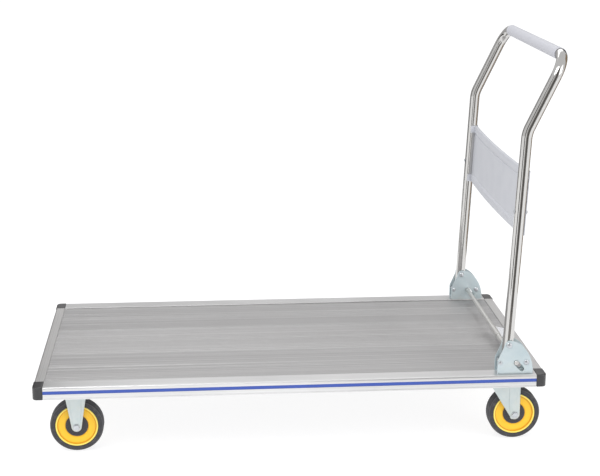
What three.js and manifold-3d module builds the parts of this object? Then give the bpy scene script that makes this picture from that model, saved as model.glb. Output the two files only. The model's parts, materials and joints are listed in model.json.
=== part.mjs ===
// Folding platform cart: aluminium plank deck in an extruded frame, a folding chromed handle on two
// bracket hinges with a sprung lock bar, two rigid casters in front and two swivel casters behind.
// Millimetres, +Z up, +X from the front end of the deck towards the handle end, +Y to the right of the
// person who pushes it.
// The origin is on the floor, under the middle of the bounding box.

import * as THREE from 'three';
import { mergeVertices } from 'three/addons/utils/BufferGeometryUtils.js';
import Module from 'manifold-3d';

const wasm = await Module();
wasm.setup();

// ---------------------------------------------------------------- driving dimensions

const GAP = 0.3;                 // clearance between pieces that touch
const BORE_CLEARANCE = 0.3;      // radial clearance of a pin in its hole

const DECK_LENGTH = 1200;
const DECK_WIDTH = 656;
const WHEEL_RADIUS = 63.5;
const WHEEL_HEADROOM = 34.2;     // from the top of a wheel to the face that its caster is bolted to

const RAIL_HEIGHT = 30;
const SIDE_RAIL_WIDTH = 44;
const END_RAIL_WIDTH = 24;
const RAIL_WALL = 3;
const RAIL_ROUND = 4;            // rounding of the rail's outer top edge
const LIP_WIDTH = 8;             // part of the rail's top that reaches over the planks
const LIP_THICKNESS = 2.2;
const LEDGE_TOP = 5.2;           // shelf under the planks, above the rail's bottom
const LEDGE_THICKNESS = 2.5;
const FACE_RECESS = 0.8;         // face of the rail behind its lower lip
const FOOT_HEIGHT = 2.8;         // height of that lower lip
const STRIPE_HEIGHT = 7.6;
const STRIPE_THICKNESS = 1.2;
const STRIPE_CENTRE = 16.8;      // above the rail's bottom

const PLANK_SKIN = 2.2;
const RIB_PITCH = 9;
const RIB_HEIGHT = 0.8;
const RIB_WIDTH = 4;
const SEAMS = [-212, -93, 2, 100, 176];   // plank seams, from the middle of the deck

const CAP_ROUND = 11;            // plan rounding of the corner caps
const CAP_PROUD = 0.5;           // the caps stand this far above and below the rails
const PLUG_LENGTH = 20;

const MEMBER_POSITIONS = [-264, 0, 264];  // cross members, from the middle of the deck
const MEMBER_WIDTH = 45;
const MEMBER_HEIGHT = 20;
const MEMBER_WALL = 3;

const TUBE_RADIUS = 12.7;
const TUBE_WALL = 2;
const LEG_INSET = 28;            // handle leg's axis from the deck's side
const HANDLE_LEAN = THREE.MathUtils.degToRad(2.9);
const UPPER_LEAN = THREE.MathUtils.degToRad(25.4);
const LEG_STUB = 38;             // leg below the pivot
const LOWER_LENGTH = 502;        // pivot to the middle of the bend
const UPPER_LENGTH = 190;        // middle of the bend to the crossbar's axis
const BEND_RADIUS = 70;
const CORNER_RADIUS = 50;
const GRIP_WALL = 1.2;

const PANEL_BOTTOM = 263;        // along the leg, from the pivot
const PANEL_HEIGHT = 152;
const PANEL_SET = 9;             // ends of the panel behind the axes of the legs
const PANEL_BOW = 6;             // middle of the panel in front of its ends
const PANEL_DIP = 2;             // its top and bottom edges hang by this much in the middle
const PANEL_THICKNESS = 4;
const PANEL_BAND = 19;           // height of the thick bands along its top and bottom
const PANEL_BAND_EXTRA = 2;      // the bands stand out by this much on both faces
const CLIP_WALL = 2.4;
const CLIP_REAR = THREE.MathUtils.degToRad(40);    // reach of the clip past the back of the leg
const CLIP_INNER = THREE.MathUtils.degToRad(65);   // and round its inner side, from its back
const BAND_INNER = THREE.MathUtils.degToRad(115);  // the same at the bands, which hold the leg
const PANEL_SCREW_HEIGHT = 55;   // above the panel's lower edge
const PANEL_SCREW_RADIUS = 2.2;

const BRACKET_WALL = 3;
const BRACKET_SIDE_PLAY = 0.8;   // between the leg and each bracket wall
const PIVOT_PIN_RADIUS = 5;
const SMALL_PIN_RADIUS = 4;
const PIN_DROP = 43;             // stop pin and spacer bolt below the pivot
const STOP_PIN_PLAY = 3.3;       // between the stop pin and the leg
const SPACER_REACH = 29.7;       // from the leg to the spacer bolt's axis
const WALL_EDGE = 2.5;           // least width of the bracket wall beside a pin or slot
const BRACKET_END_PLAY = 7.6;    // between a bracket and the rear end rail
const LOCK_BAR_RADIUS = 5.5;
const LOCK_PLAY = 0.5;           // between the lock bar and the leg's end
const LOCK_SIDE = 5.8;           // from the leg to the lock bar's axis
const LOCK_DIRECTION = new THREE.Vector2(0.655, -0.756).normalize();
const LOCK_TRAVEL = 20;
const LOCK_BAR_PROUD = 3;        // the bar reaches past the outer bracket walls
const PEDAL_WIDTH = 70;
const PEDAL_REACH = 36;
const PEDAL_OFFSET = -80;
const PEDAL_THICKNESS = 4;
const PEDAL_SLOPE = THREE.MathUtils.degToRad(10);

const WHEEL_CENTRE_RADIUS = 50;
const HUB_RADIUS = 26.5;
const TYRE_WIDTH = 34;
const HUB_LENGTH = 41;
const AXLE_RADIUS = 5;
const FRONT_AXLE = 93;           // from the front end of the deck
const SWIVEL_FROM_END = 84;      // swivel axis from the rear end of the deck
const TRAIL = 25;
const FORK_WALL = 3.5;
const CASTER_PLATE_LENGTH = 100;
const CASTER_PLATE_WIDTH = 78;
const RACE_RADIUS = 31;
const RACE_HEIGHT = 7.7;
const KINGPIN_RADIUS = 6;

// ---------------------------------------------------------------- places worked out from them

const UNDERSIDE = 2 * WHEEL_RADIUS + WHEEL_HEADROOM;
const RAIL_BOTTOM = UNDERSIDE - LEDGE_TOP;
const DECK_TOP = RAIL_BOTTOM + RAIL_HEIGHT;            // top of the frame rails
const PLANK_TOP = DECK_TOP - LIP_THICKNESS - GAP;
const PLANK_BOTTOM = UNDERSIDE + GAP;
const LOCK_REST = new THREE.Vector2(TUBE_RADIUS + LOCK_SIDE, -LEG_STUB - LOCK_PLAY - LOCK_BAR_RADIUS);
const STOP_PIN = new THREE.Vector2(-TUBE_RADIUS - STOP_PIN_PLAY - SMALL_PIN_RADIUS, -PIN_DROP);
const SPACER_PIN = new THREE.Vector2(TUBE_RADIUS + SPACER_REACH, -PIN_DROP);
const BRACKET_FRONT = STOP_PIN.x - SMALL_PIN_RADIUS - WALL_EDGE;   // ends of a bracket, from the pivot
const BRACKET_REAR = SPACER_PIN.x + 4 * SMALL_PIN_RADIUS;
const PIVOT_FROM_END = END_RAIL_WIDTH + BRACKET_END_PLAY + BRACKET_REAR;
const SLOT_RADIUS = LOCK_BAR_RADIUS + 2 * BORE_CLEARANCE;
const SLOT_END = LOCK_REST.clone().addScaledVector(LOCK_DIRECTION, LOCK_TRAVEL);
const PIVOT_HEIGHT = GAP + BRACKET_WALL + WALL_EDGE + SLOT_RADIUS - SLOT_END.y;   // above the rail's top
const LEG_Y = DECK_WIDTH / 2 - LEG_INSET;
const WHEEL_Y = DECK_WIDTH / 2 - SIDE_RAIL_WIDTH - 1 - CASTER_PLATE_WIDTH / 2;
const GRIP_RADIUS = TUBE_RADIUS + GAP + GRIP_WALL;
const PIVOT = new THREE.Vector3(DECK_LENGTH - PIVOT_FROM_END, 0, DECK_TOP + PIVOT_HEIGHT);
const WALL_INNER = TUBE_RADIUS + BRACKET_SIDE_PLAY;
const WALL_OUTER = WALL_INNER + BRACKET_WALL;
const CROSSBAR_X = PIVOT.x + LOWER_LENGTH * Math.sin(HANDLE_LEAN) + UPPER_LENGTH * Math.sin(UPPER_LEAN);
const OVERALL_LENGTH = CROSSBAR_X + GRIP_RADIUS;
const SIDES = [['left', -1], ['right', 1]];            // name of a side and the sign of its Y

// ---------------------------------------------------------------- materials

const paint = (color, roughness, metalness) => () =>
  new THREE.MeshStandardMaterial({ color, roughness, metalness });
const aluminium = paint(0xc4c5c6, 0.42, 0.85);
const railAluminium = paint(0xd6d7d8, 0.32, 0.85);
const bluePlastic = paint(0x4a62b8, 0.4, 0);
const blackPlastic = paint(0x3a3a3c, 0.6, 0);
const chrome = paint(0xd8d8d8, 0.1, 1);
const greyPlastic = paint(0xd0d2d9, 0.45, 0);
const zinc = paint(0xcdd8da, 0.35, 0.8);
const steel = paint(0xb8bcc0, 0.35, 0.9);
const rubber = paint(0x464649, 0.75, 0);
const yellowPlastic = paint(0xfcc83c, 0.45, 0);
const darkPlastic = paint(0x504e52, 0.55, 0);

// ---------------------------------------------------------------- solids and joins

// A manifold solid from a closed three.js geometry.
function solid(geometry) {
  const bare = geometry.clone();
  bare.deleteAttribute('normal');
  bare.deleteAttribute('uv');
  const welded = mergeVertices(bare, 1e-4);
  return new wasm.Manifold(new wasm.Mesh({
    numProp: 3,
    vertProperties: new Float32Array(welded.attributes.position.array),
    triVerts: new Uint32Array(welded.index.array),
  }));
}

function geometryOf(body) {
  const mesh = body.getMesh();
  const geometry = new THREE.BufferGeometry();
  geometry.setAttribute('position', new THREE.BufferAttribute(mesh.vertProperties, 3));
  geometry.setIndex(new THREE.BufferAttribute(mesh.triVerts, 1));
  geometry.computeVertexNormals();
  return geometry;
}

const union = (...parts) => geometryOf(parts.map(solid).reduce((all, part) => all.add(part)));

const cut = (geometry, ...tools) =>
  geometryOf(tools.map(solid).reduce((rest, tool) => rest.subtract(tool), solid(geometry)));

const overlapOf = (first, second) => geometryOf(solid(first).intersect(solid(second)));

// ---------------------------------------------------------------- shapes

function polygon(points) {
  return new THREE.Shape(points.map(([x, y]) => new THREE.Vector2(x, y)));
}

function disc(radius, centre = new THREE.Vector2()) {
  return new THREE.Shape().absarc(centre.x, centre.y, radius, 0, 2 * Math.PI, false);
}

function rectangle(width, height) {
  return polygon([[-width / 2, -height / 2], [width / 2, -height / 2],
    [width / 2, height / 2], [-width / 2, height / 2]]);
}

function roundedRectangle(width, height, radius) {
  const [x, y] = [width / 2 - radius, height / 2 - radius];
  return new THREE.Shape()
    .absarc(x, y, radius, 0, Math.PI / 2, false)
    .absarc(-x, y, radius, Math.PI / 2, Math.PI, false)
    .absarc(-x, -y, radius, Math.PI, 1.5 * Math.PI, false)
    .absarc(x, -y, radius, 1.5 * Math.PI, 2 * Math.PI, false);
}

function extrude(shape, depth, curveSegments = 6) {
  return new THREE.ExtrudeGeometry(shape, { depth, steps: 1, bevelEnabled: false, curveSegments });
}

// An upright prism: the shape lies in X and Y and rises from z = bottom to z = top.
const upright = (shape, bottom, top, curveSegments) =>
  extrude(shape, top - bottom, curveSegments).translate(0, 0, bottom);

// A plate across Y: the shape's x and y are X and Z, and it runs from y = from to y = to.
const across = (shape, from, to, curveSegments) =>
  extrude(shape, to - from, curveSegments).rotateX(Math.PI / 2).translate(0, to, 0);

// A profile along X: the shape's x and y are Y and Z, and it runs from x = from to x = to.
const along = (shape, from, to, curveSegments) =>
  extrude(shape, to - from, curveSegments).rotateX(Math.PI / 2).rotateZ(Math.PI / 2).translate(from, 0, 0);

// A turned piece about the Y axis: the profile lists [radius, y] and closes on itself or on the axis.
function turned(profile, segments = 24) {
  return new THREE.LatheGeometry(profile.map(([r, y]) => new THREE.Vector2(r, y)), segments);
}

// A headed pin across Y through two walls whose outer faces are at -reach and +reach.
function headedPin(radius, reach, headRadius, headHeight, middle = null) {
  const head = [[0, 0], [headRadius * 0.8, 0], [headRadius, headHeight]];
  const near = head.map(([r, h]) => [r, -reach - GAP - headHeight + h]);
  const far = head.map(([r, h]) => [r, reach + GAP + headHeight - h]).reverse();
  const shank = [[radius, -reach - GAP], [radius, reach + GAP]];
  const sleeve = middle ? [shank[0], [radius, -middle.reach], [middle.radius, -middle.reach],
    [middle.radius, middle.reach], [radius, middle.reach], shank[1]] : shank;
  return turned([...near, ...sleeve, ...far], 10);
}

// ---------------------------------------------------------------- the tree of the cart

const root = new THREE.Group();
const cart = new THREE.Group();                 // its x = 0 is the front end of the deck
cart.position.x = -OVERALL_LENGTH / 2;
root.add(cart);

function add(name, geometry, material, parent = cart) {
  const mesh = new THREE.Mesh(geometry, material());
  mesh.name = name;
  parent.add(mesh);
  return mesh;
}

// ---------------------------------------------------------------- frame rails

// Section of a frame rail: u runs inwards from the outer face, z up from the rail's bottom.
function railSection(width) {
  const box = width - LIP_WIDTH;
  const grooveDepth = STRIPE_THICKNESS + GAP + FACE_RECESS;
  const grooveHalf = STRIPE_HEIGHT / 2 + GAP;
  const section = new THREE.Shape();
  section.moveTo(0, 0);
  section.lineTo(box, 0);
  section.lineTo(box, LEDGE_TOP - LEDGE_THICKNESS);
  section.lineTo(width, LEDGE_TOP - LEDGE_THICKNESS);
  section.lineTo(width, LEDGE_TOP);
  section.lineTo(box, LEDGE_TOP);
  section.lineTo(box, RAIL_HEIGHT - LIP_THICKNESS);
  section.lineTo(width, RAIL_HEIGHT - LIP_THICKNESS);
  section.lineTo(width - LIP_THICKNESS / 3, RAIL_HEIGHT);
  section.absarc(FACE_RECESS + RAIL_ROUND, RAIL_HEIGHT - RAIL_ROUND, RAIL_ROUND,
    Math.PI / 2, Math.PI, false);
  section.lineTo(FACE_RECESS, STRIPE_CENTRE + grooveHalf);
  section.lineTo(grooveDepth, STRIPE_CENTRE + grooveHalf);
  section.lineTo(grooveDepth, STRIPE_CENTRE - grooveHalf);
  section.lineTo(FACE_RECESS, STRIPE_CENTRE - grooveHalf);
  section.lineTo(FACE_RECESS, FOOT_HEIGHT);
  section.lineTo(0, FOOT_HEIGHT);
  const hollow = hollowOf(width);
  section.holes.push(polygon([[hollow.from, RAIL_WALL], [hollow.from, RAIL_HEIGHT - RAIL_WALL],
    [hollow.to, RAIL_HEIGHT - RAIL_WALL], [hollow.to, RAIL_WALL]]));
  return section;
}

// Where the rail's hollow lies between its outer and inner walls.
function hollowOf(width) {
  return { from: STRIPE_THICKNESS + GAP + FACE_RECESS + RAIL_WALL, to: width - LIP_WIDTH - RAIL_WALL };
}

// A rail of the given length along X whose outer face looks to -Y, its middle at the local origin.
function railGeometry(width, length) {
  return along(railSection(width), -length / 2, length / 2, 4);
}

function stripeGeometry(length) {
  return new THREE.BoxGeometry(length, STRIPE_THICKNESS, STRIPE_HEIGHT)
    .translate(0, FACE_RECESS + STRIPE_THICKNESS / 2, STRIPE_CENTRE);
}

function addRails() {
  const sideLength = DECK_LENGTH - 2 * (END_RAIL_WIDTH + GAP);
  const endLength = DECK_WIDTH - 2 * (SIDE_RAIL_WIDTH + GAP);
  for (const [side, sign] of SIDES) {
    const place = new THREE.Group();
    place.position.set(DECK_LENGTH / 2, sign * DECK_WIDTH / 2, RAIL_BOTTOM);
    place.rotation.z = sign < 0 ? 0 : Math.PI;
    cart.add(place);
    add(`side_rail_${side}`, railGeometry(SIDE_RAIL_WIDTH, sideLength), railAluminium, place);
    add(`side_stripe_${side}`, stripeGeometry(sideLength), bluePlastic, place);
  }
  for (const [end, sign] of [['front', -1], ['rear', 1]]) {
    const place = new THREE.Group();
    place.position.set(sign < 0 ? 0 : DECK_LENGTH, 0, RAIL_BOTTOM);
    place.rotation.z = sign * Math.PI / 2;
    cart.add(place);
    add(`end_rail_${end}`, railGeometry(END_RAIL_WIDTH, endLength), railAluminium, place);
    add(`end_stripe_${end}`, stripeGeometry(endLength), bluePlastic, place);
  }
}

// ---------------------------------------------------------------- corner caps

// Cap of the corner at the local origin, reaching to +X and +Y, with a plug for each rail.
function capGeometry() {
  const [length, width] = [END_RAIL_WIDTH, SIDE_RAIL_WIDTH];
  const [boxLength, boxWidth] = [length - LIP_WIDTH, width - LIP_WIDTH];
  const outerCorner = (shape) =>
    shape.absarc(CAP_ROUND, CAP_ROUND, CAP_ROUND, Math.PI, 1.5 * Math.PI, false);
  const body = outerCorner(new THREE.Shape());
  body.lineTo(length, 0);
  body.lineTo(length, boxWidth);
  body.lineTo(boxLength, boxWidth);
  body.lineTo(boxLength, width);
  body.lineTo(0, width);
  const top = outerCorner(new THREE.Shape());
  top.lineTo(length, 0);
  top.lineTo(length, width);
  top.lineTo(0, width);
  const lipBottom = DECK_TOP - LIP_THICKNESS;
  return union(
    upright(body, RAIL_BOTTOM - CAP_PROUD, lipBottom + LIP_THICKNESS / 2),
    upright(top, lipBottom, DECK_TOP + CAP_PROUD),
    plugGeometry(width, false).translate(length, 0, 0),
    plugGeometry(length, true).translate(0, width, 0),
  );
}

// Plug for a rail's hollow, starting 1 inside the cap. It runs to +X from the rail's start,
// or to +Y where it is turned, and the rail's outer face is at 0 of the other axis.
function plugGeometry(railWidth, isTurned) {
  const hollow = hollowOf(railWidth);
  const width = hollow.to - hollow.from - 2 * GAP;
  const height = RAIL_HEIGHT - 2 * RAIL_WALL - 2 * GAP;
  const [run, side] = [(PLUG_LENGTH - 1) / 2, hollow.from + GAP + width / 2];
  const plug = isTurned
    ? new THREE.BoxGeometry(width, PLUG_LENGTH + 1, height).translate(side, run, 0)
    : new THREE.BoxGeometry(PLUG_LENGTH + 1, width, height).translate(run, side, 0);
  return plug.translate(0, 0, RAIL_BOTTOM + RAIL_HEIGHT / 2);
}

function mirrored(geometry, signX, signY) {
  const copy = geometry.clone().scale(signX, signY, 1);
  if (signX * signY < 0) {
    const index = copy.index.array;
    for (let i = 0; i < index.length; i += 3) {
      [index[i], index[i + 1]] = [index[i + 1], index[i]];
    }
    copy.computeVertexNormals();
  }
  return copy;
}

function addCaps() {
  const cap = capGeometry();
  for (const [side, sign] of SIDES) {
    for (const [end, endSign] of [['front', -1], ['rear', 1]]) {
      const mesh = add(`corner_cap_${end}_${side}`, mirrored(cap, -endSign, -sign), blackPlastic);
      mesh.position.set(endSign < 0 ? 0 : DECK_LENGTH, sign * DECK_WIDTH / 2, 0);
    }
  }
}

// ---------------------------------------------------------------- deck planks

// A hollow plank from y = from to y = to, with ribs along its top and cells along its inside.
function plankGeometry(from, to) {
  const width = to - from;
  const base = PLANK_TOP - RIB_HEIGHT;
  const count = Math.round((width - RIB_WIDTH) / RIB_PITCH);
  const pitch = (width - RIB_WIDTH) / count;
  const slope = RIB_HEIGHT / 2;
  const section = new THREE.Shape();
  section.moveTo(from, PLANK_BOTTOM);
  section.lineTo(to, PLANK_BOTTOM);
  for (let i = count; i >= 0; i -= 1) {
    const start = from + i * pitch;
    section.lineTo(start + RIB_WIDTH, i === count ? PLANK_TOP - RIB_HEIGHT / 2 : base);
    section.lineTo(start + RIB_WIDTH - slope, PLANK_TOP);
    section.lineTo(start + slope, PLANK_TOP);
    section.lineTo(start, i === 0 ? PLANK_TOP - RIB_HEIGHT / 2 : base);
  }
  const start = END_RAIL_WIDTH - LIP_WIDTH + GAP;
  const cellCount = Math.max(2, Math.round(width / 45));
  const cellPitch = (width - PLANK_SKIN) / cellCount;
  const cellHeight = base - PLANK_BOTTOM - 2 * PLANK_SKIN;
  const cells = Array.from({ length: cellCount }, (_, i) =>
    new THREE.BoxGeometry(DECK_LENGTH, cellPitch - PLANK_SKIN, cellHeight).translate(
      DECK_LENGTH / 2, from + PLANK_SKIN / 2 + (i + 0.5) * cellPitch,
      PLANK_BOTTOM + PLANK_SKIN + cellHeight / 2));
  return cut(along(section, start, DECK_LENGTH - start), ...cells);
}

function addPlanks() {
  const edge = DECK_WIDTH / 2 - SIDE_RAIL_WIDTH + LIP_WIDTH - GAP / 2;
  const seams = [-edge, ...SEAMS, edge];
  for (let i = 0; i + 1 < seams.length; i += 1) {
    const plank = plankGeometry(seams[i] + GAP / 2, seams[i + 1] - GAP / 2);
    add(`deck_plank_${i + 1}`, plank, aluminium);
  }
}

// ---------------------------------------------------------------- cross members

function addCrossMembers() {
  const [half, wall] = [MEMBER_WIDTH / 2, MEMBER_WALL];
  const section = polygon([
    [-half, UNDERSIDE - MEMBER_HEIGHT], [-half + wall, UNDERSIDE - MEMBER_HEIGHT],
    [-half + wall, UNDERSIDE - wall], [half - wall, UNDERSIDE - wall],
    [half - wall, UNDERSIDE - MEMBER_HEIGHT], [half, UNDERSIDE - MEMBER_HEIGHT],
    [half, UNDERSIDE], [-half, UNDERSIDE],
  ]);
  const reach = DECK_WIDTH / 2 - SIDE_RAIL_WIDTH - GAP;
  MEMBER_POSITIONS.forEach((position, i) => {
    const member = add(`cross_member_${i + 1}`, across(section, -reach, reach), steel);
    member.position.x = DECK_LENGTH / 2 + position;
  });
}

// ---------------------------------------------------------------- handle

// A bent tube's axis. Its stations lie only at the ends of the straight runs and along the arcs.
class BentAxis extends THREE.Curve {
  constructor(corners, radii, arcSteps) {
    super();
    this.stations = [{ point: corners[0], tangent: direction(corners[0], corners[1]) }];
    for (let i = 1; i + 1 < corners.length; i += 1) {
      this.addArc(corners[i], radii[i - 1], direction(corners[i - 1], corners[i]),
        direction(corners[i], corners[i + 1]), arcSteps[i - 1]);
    }
    const last = corners.length - 1;
    this.stations.push({ point: corners[last], tangent: direction(corners[last - 1], corners[last]) });
  }

  addArc(corner, radius, into, outOf, steps) {
    const angle = into.angleTo(outOf);
    const start = corner.clone().addScaledVector(into, -radius * Math.tan(angle / 2));
    const side = outOf.clone().addScaledVector(into, -outOf.dot(into)).normalize();
    for (let i = 0; i <= steps; i += 1) {
      const turn = angle * i / steps;
      const point = start.clone().addScaledVector(into, radius * Math.sin(turn))
        .addScaledVector(side, radius * (1 - Math.cos(turn)));
      const tangent = into.clone().multiplyScalar(Math.cos(turn)).addScaledVector(side, Math.sin(turn));
      this.stations.push({ point, tangent });
    }
  }

  station(t) {
    return this.stations[Math.round(t * (this.stations.length - 1))];
  }

  getPointAt(t) {
    return this.station(t).point.clone();
  }

  getTangentAt(t) {
    return this.station(t).tangent.clone();
  }
}

function direction(from, to) {
  return to.clone().sub(from).normalize();
}

function handleTubeGeometry() {
  const tilt = UPPER_LEAN - HANDLE_LEAN;
  const [topX, topZ] = [UPPER_LENGTH * Math.sin(tilt), LOWER_LENGTH + UPPER_LENGTH * Math.cos(tilt)];
  const corners = [
    [0, -LEG_Y, -LEG_STUB], [0, -LEG_Y, LOWER_LENGTH], [topX, -LEG_Y, topZ],
    [topX, LEG_Y, topZ], [0, LEG_Y, LOWER_LENGTH], [0, LEG_Y, -LEG_STUB],
  ].map((place) => new THREE.Vector3(...place));
  const axis = new BentAxis(corners, [BEND_RADIUS, CORNER_RADIUS, CORNER_RADIUS, BEND_RADIUS], [2, 5, 5, 2]);
  const section = disc(TUBE_RADIUS);
  section.holes.push(disc(TUBE_RADIUS - TUBE_WALL));
  const tube = new THREE.ExtrudeGeometry(section, {
    steps: axis.stations.length - 1, curveSegments: 6, bevelEnabled: false, extrudePath: axis,
  });
  const pivotHole = across(disc(PIVOT_PIN_RADIUS + BORE_CLEARANCE), -DECK_WIDTH / 2, DECK_WIDTH / 2, 6);
  return cut(tube, pivotHole, ...panelScrewHoles());
}

// Drills along X through both legs for the panel's screws.
function panelScrewHoles() {
  return SIDES.map(([, sign]) =>
    along(disc(PANEL_SCREW_RADIUS + BORE_CLEARANCE), -2 * TUBE_RADIUS, 2 * TUBE_RADIUS, 4)
      .translate(0, sign * LEG_Y, PANEL_BOTTOM + PANEL_SCREW_HEIGHT));
}

// A sleeve over the crossbar, from bend to bend.
function gripGeometry() {
  const reach = LEG_Y - CORNER_RADIUS - 1;
  const inner = TUBE_RADIUS + GAP;
  const round = GRIP_WALL / 2;
  const profile = [[inner, -reach], [GRIP_RADIUS - round, -reach], [GRIP_RADIUS, -reach + round],
    [GRIP_RADIUS, reach - round], [GRIP_RADIUS - round, reach], [inner, reach], [inner, -reach]];
  const tilt = UPPER_LEAN - HANDLE_LEAN;
  return turned(profile, 20).translate(
    UPPER_LENGTH * Math.sin(tilt), 0, LOWER_LENGTH + UPPER_LENGTH * Math.cos(tilt));
}

// ---------------------------------------------------------------- handle panel

// Plan of the panel's web: a strip of the given thickness behind the legs' axes, which bows to -X between them.
function webPlan(thickness) {
  const reach = LEG_Y - TUBE_RADIUS + CLIP_WALL * 2;
  const steps = 8;
  const placeAt = (y) => PANEL_SET - PANEL_BOW * (1 - (y / reach) ** 2);
  const side = (offset) => Array.from({ length: steps + 1 }, (_, i) => {
    const y = reach * (2 * i / steps - 1);
    return [placeAt(y) + offset, y];
  });
  return polygon([...side(thickness / 2), ...side(-thickness / 2).reverse()]);
}

// Plan of the clip round the back of a leg, up to the given angle round the leg's inner side.
function clipPlan(sign, innerAngle) {
  const [inner, outer] = [TUBE_RADIUS + GAP, TUBE_RADIUS + GAP + CLIP_WALL];
  const [from, to] = sign < 0 ? [-CLIP_REAR, innerAngle] : [-innerAngle, CLIP_REAR];
  return new THREE.Shape()
    .absarc(0, sign * LEG_Y, outer, from, to, false)
    .absarc(0, sign * LEG_Y, inner, to, from, true);
}

// Front view of the panel between two heights. Both edges hang in the middle.
function hangingOutline(bottom, top, cutter) {
  const reach = LEG_Y + TUBE_RADIUS;
  const steps = 8;
  const edge = (height) => Array.from({ length: steps + 1 }, (_, i) => {
    const y = reach * (2 * i / steps - 1);
    return [y, height - PANEL_DIP * (1 - (y / reach) ** 2)];
  });
  return along(polygon([...edge(bottom), ...edge(top).reverse()]), -cutter, cutter);
}

function panelGeometry() {
  const [bottom, top] = [PANEL_BOTTOM, PANEL_BOTTOM + PANEL_HEIGHT];
  const room = PANEL_DIP + 1;
  const ranges = [[bottom, bottom + PANEL_BAND], [top - PANEL_BAND, top]];
  const clips = SIDES.flatMap(([, sign]) => [
    upright(clipPlan(sign, CLIP_INNER), bottom, top, 6),
    ...ranges.map(([from, to]) => upright(clipPlan(sign, BAND_INNER), from, to, 6)),
  ]);
  const legs = SIDES.map(([, sign]) =>
    upright(disc(TUBE_RADIUS + GAP), bottom - room, top + room, 6).translate(0, sign * LEG_Y, 0));
  const web = overlapOf(upright(webPlan(PANEL_THICKNESS), bottom - room, top + room),
    hangingOutline(bottom, top, 40));
  const thick = webPlan(PANEL_THICKNESS + 2 * PANEL_BAND_EXTRA);
  const bands = ranges.map(([from, to]) =>
    overlapOf(upright(thick, bottom - room, top + room), hangingOutline(from, to, 40)));
  return cut(union(web, ...bands, ...clips), ...legs, ...panelScrewHoles());
}

// A through screw along X with a round head on the front of the leg and one on the back of the clip.
function panelScrewGeometry() {
  const reach = TUBE_RADIUS + GAP + CLIP_WALL / 2;
  return headedPin(PANEL_SCREW_RADIUS, reach, 4.5, 2).rotateZ(-Math.PI / 2).translate(CLIP_WALL / 2, 0, 0);
}

function addHandle() {
  const handle = new THREE.Group();
  handle.position.copy(PIVOT);
  handle.rotation.y = HANDLE_LEAN;
  cart.add(handle);
  add('handle_tube', handleTubeGeometry(), chrome, handle);
  add('handle_grip', gripGeometry(), greyPlastic, handle);
  add('handle_panel', panelGeometry(), greyPlastic, handle);
  for (const [side, sign] of SIDES) {
    const screw = add(`panel_screw_${side}`, panelScrewGeometry(), steel, handle);
    screw.position.set(0, sign * LEG_Y, PANEL_BOTTOM + PANEL_SCREW_HEIGHT);
  }
}

// ---------------------------------------------------------------- hinge brackets

// Side view of a bracket wall, from the pivot.
function bracketOutline() {
  const base = GAP - PIVOT_HEIGHT;
  const outline = new THREE.Shape();
  const top = PIVOT_PIN_RADIUS + 2 * WALL_EDGE;
  outline.moveTo(BRACKET_FRONT, base);
  outline.lineTo(BRACKET_REAR, base);
  outline.bezierCurveTo(BRACKET_REAR - 1, -25, BRACKET_REAR / 2, top, PIVOT_PIN_RADIUS, top);
  outline.quadraticCurveTo(-top, top - 1.5, -top - WALL_EDGE, -PIVOT_PIN_RADIUS - 1);
  outline.lineTo(BRACKET_FRONT, STOP_PIN.y + SMALL_PIN_RADIUS + 1);
  return outline;
}

// The lock bar's slot, through both walls.
function slotOutline() {
  const heading = LOCK_DIRECTION.angle();
  return new THREE.Shape()
    .absarc(SLOT_END.x, SLOT_END.y, SLOT_RADIUS, heading - Math.PI / 2, heading + Math.PI / 2, false)
    .absarc(LOCK_REST.x, LOCK_REST.y, SLOT_RADIUS, heading + Math.PI / 2, heading + 1.5 * Math.PI, false);
}

// A bracket is a U of two walls and a floor, with its pivot at the local origin.
function bracketGeometry() {
  const floorBottom = GAP - PIVOT_HEIGHT;
  const [front, rear] = [BRACKET_FRONT + WALL_EDGE, BRACKET_REAR - SMALL_PIN_RADIUS];
  const floor = new THREE.BoxGeometry(rear - front, 2 * WALL_INNER + BRACKET_WALL, BRACKET_WALL)
    .translate((front + rear) / 2, 0, floorBottom + BRACKET_WALL / 2);
  const reach = WALL_OUTER + 1;
  const pins = [[new THREE.Vector2(), PIVOT_PIN_RADIUS], [STOP_PIN, SMALL_PIN_RADIUS],
    [SPACER_PIN, SMALL_PIN_RADIUS]];
  const holes = pins.map(([centre, radius]) =>
    across(disc(radius + BORE_CLEARANCE, centre), -reach, reach, 6));
  const walls = [-1, 1].map((sign) =>
    across(bracketOutline(), WALL_INNER, WALL_OUTER, 8).translate(0, sign < 0 ? -WALL_INNER - WALL_OUTER : 0, 0));
  return cut(union(floor, ...walls), ...holes, across(slotOutline(), -reach, reach, 5));
}

function addBrackets() {
  const sleeve = { radius: 7, reach: WALL_INNER - GAP };
  for (const [side, sign] of SIDES) {
    const place = new THREE.Group();
    place.position.set(PIVOT.x, sign * LEG_Y, PIVOT.z);
    cart.add(place);
    add(`hinge_bracket_${side}`, bracketGeometry(), zinc, place);
    add(`pivot_bolt_${side}`, headedPin(PIVOT_PIN_RADIUS, WALL_OUTER, 8.5, 4), steel, place);
    const stop = add(`stop_pin_${side}`, headedPin(SMALL_PIN_RADIUS, WALL_OUTER, 6, 2.5), steel, place);
    stop.position.set(STOP_PIN.x, 0, STOP_PIN.y);
    const spacer = add(`spacer_bolt_${side}`, headedPin(SMALL_PIN_RADIUS, WALL_OUTER, 8, 3.5, sleeve),
      steel, place);
    spacer.position.set(SPACER_PIN.x, 0, SPACER_PIN.y);
  }
}

// ---------------------------------------------------------------- lock bar and pedal

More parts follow.
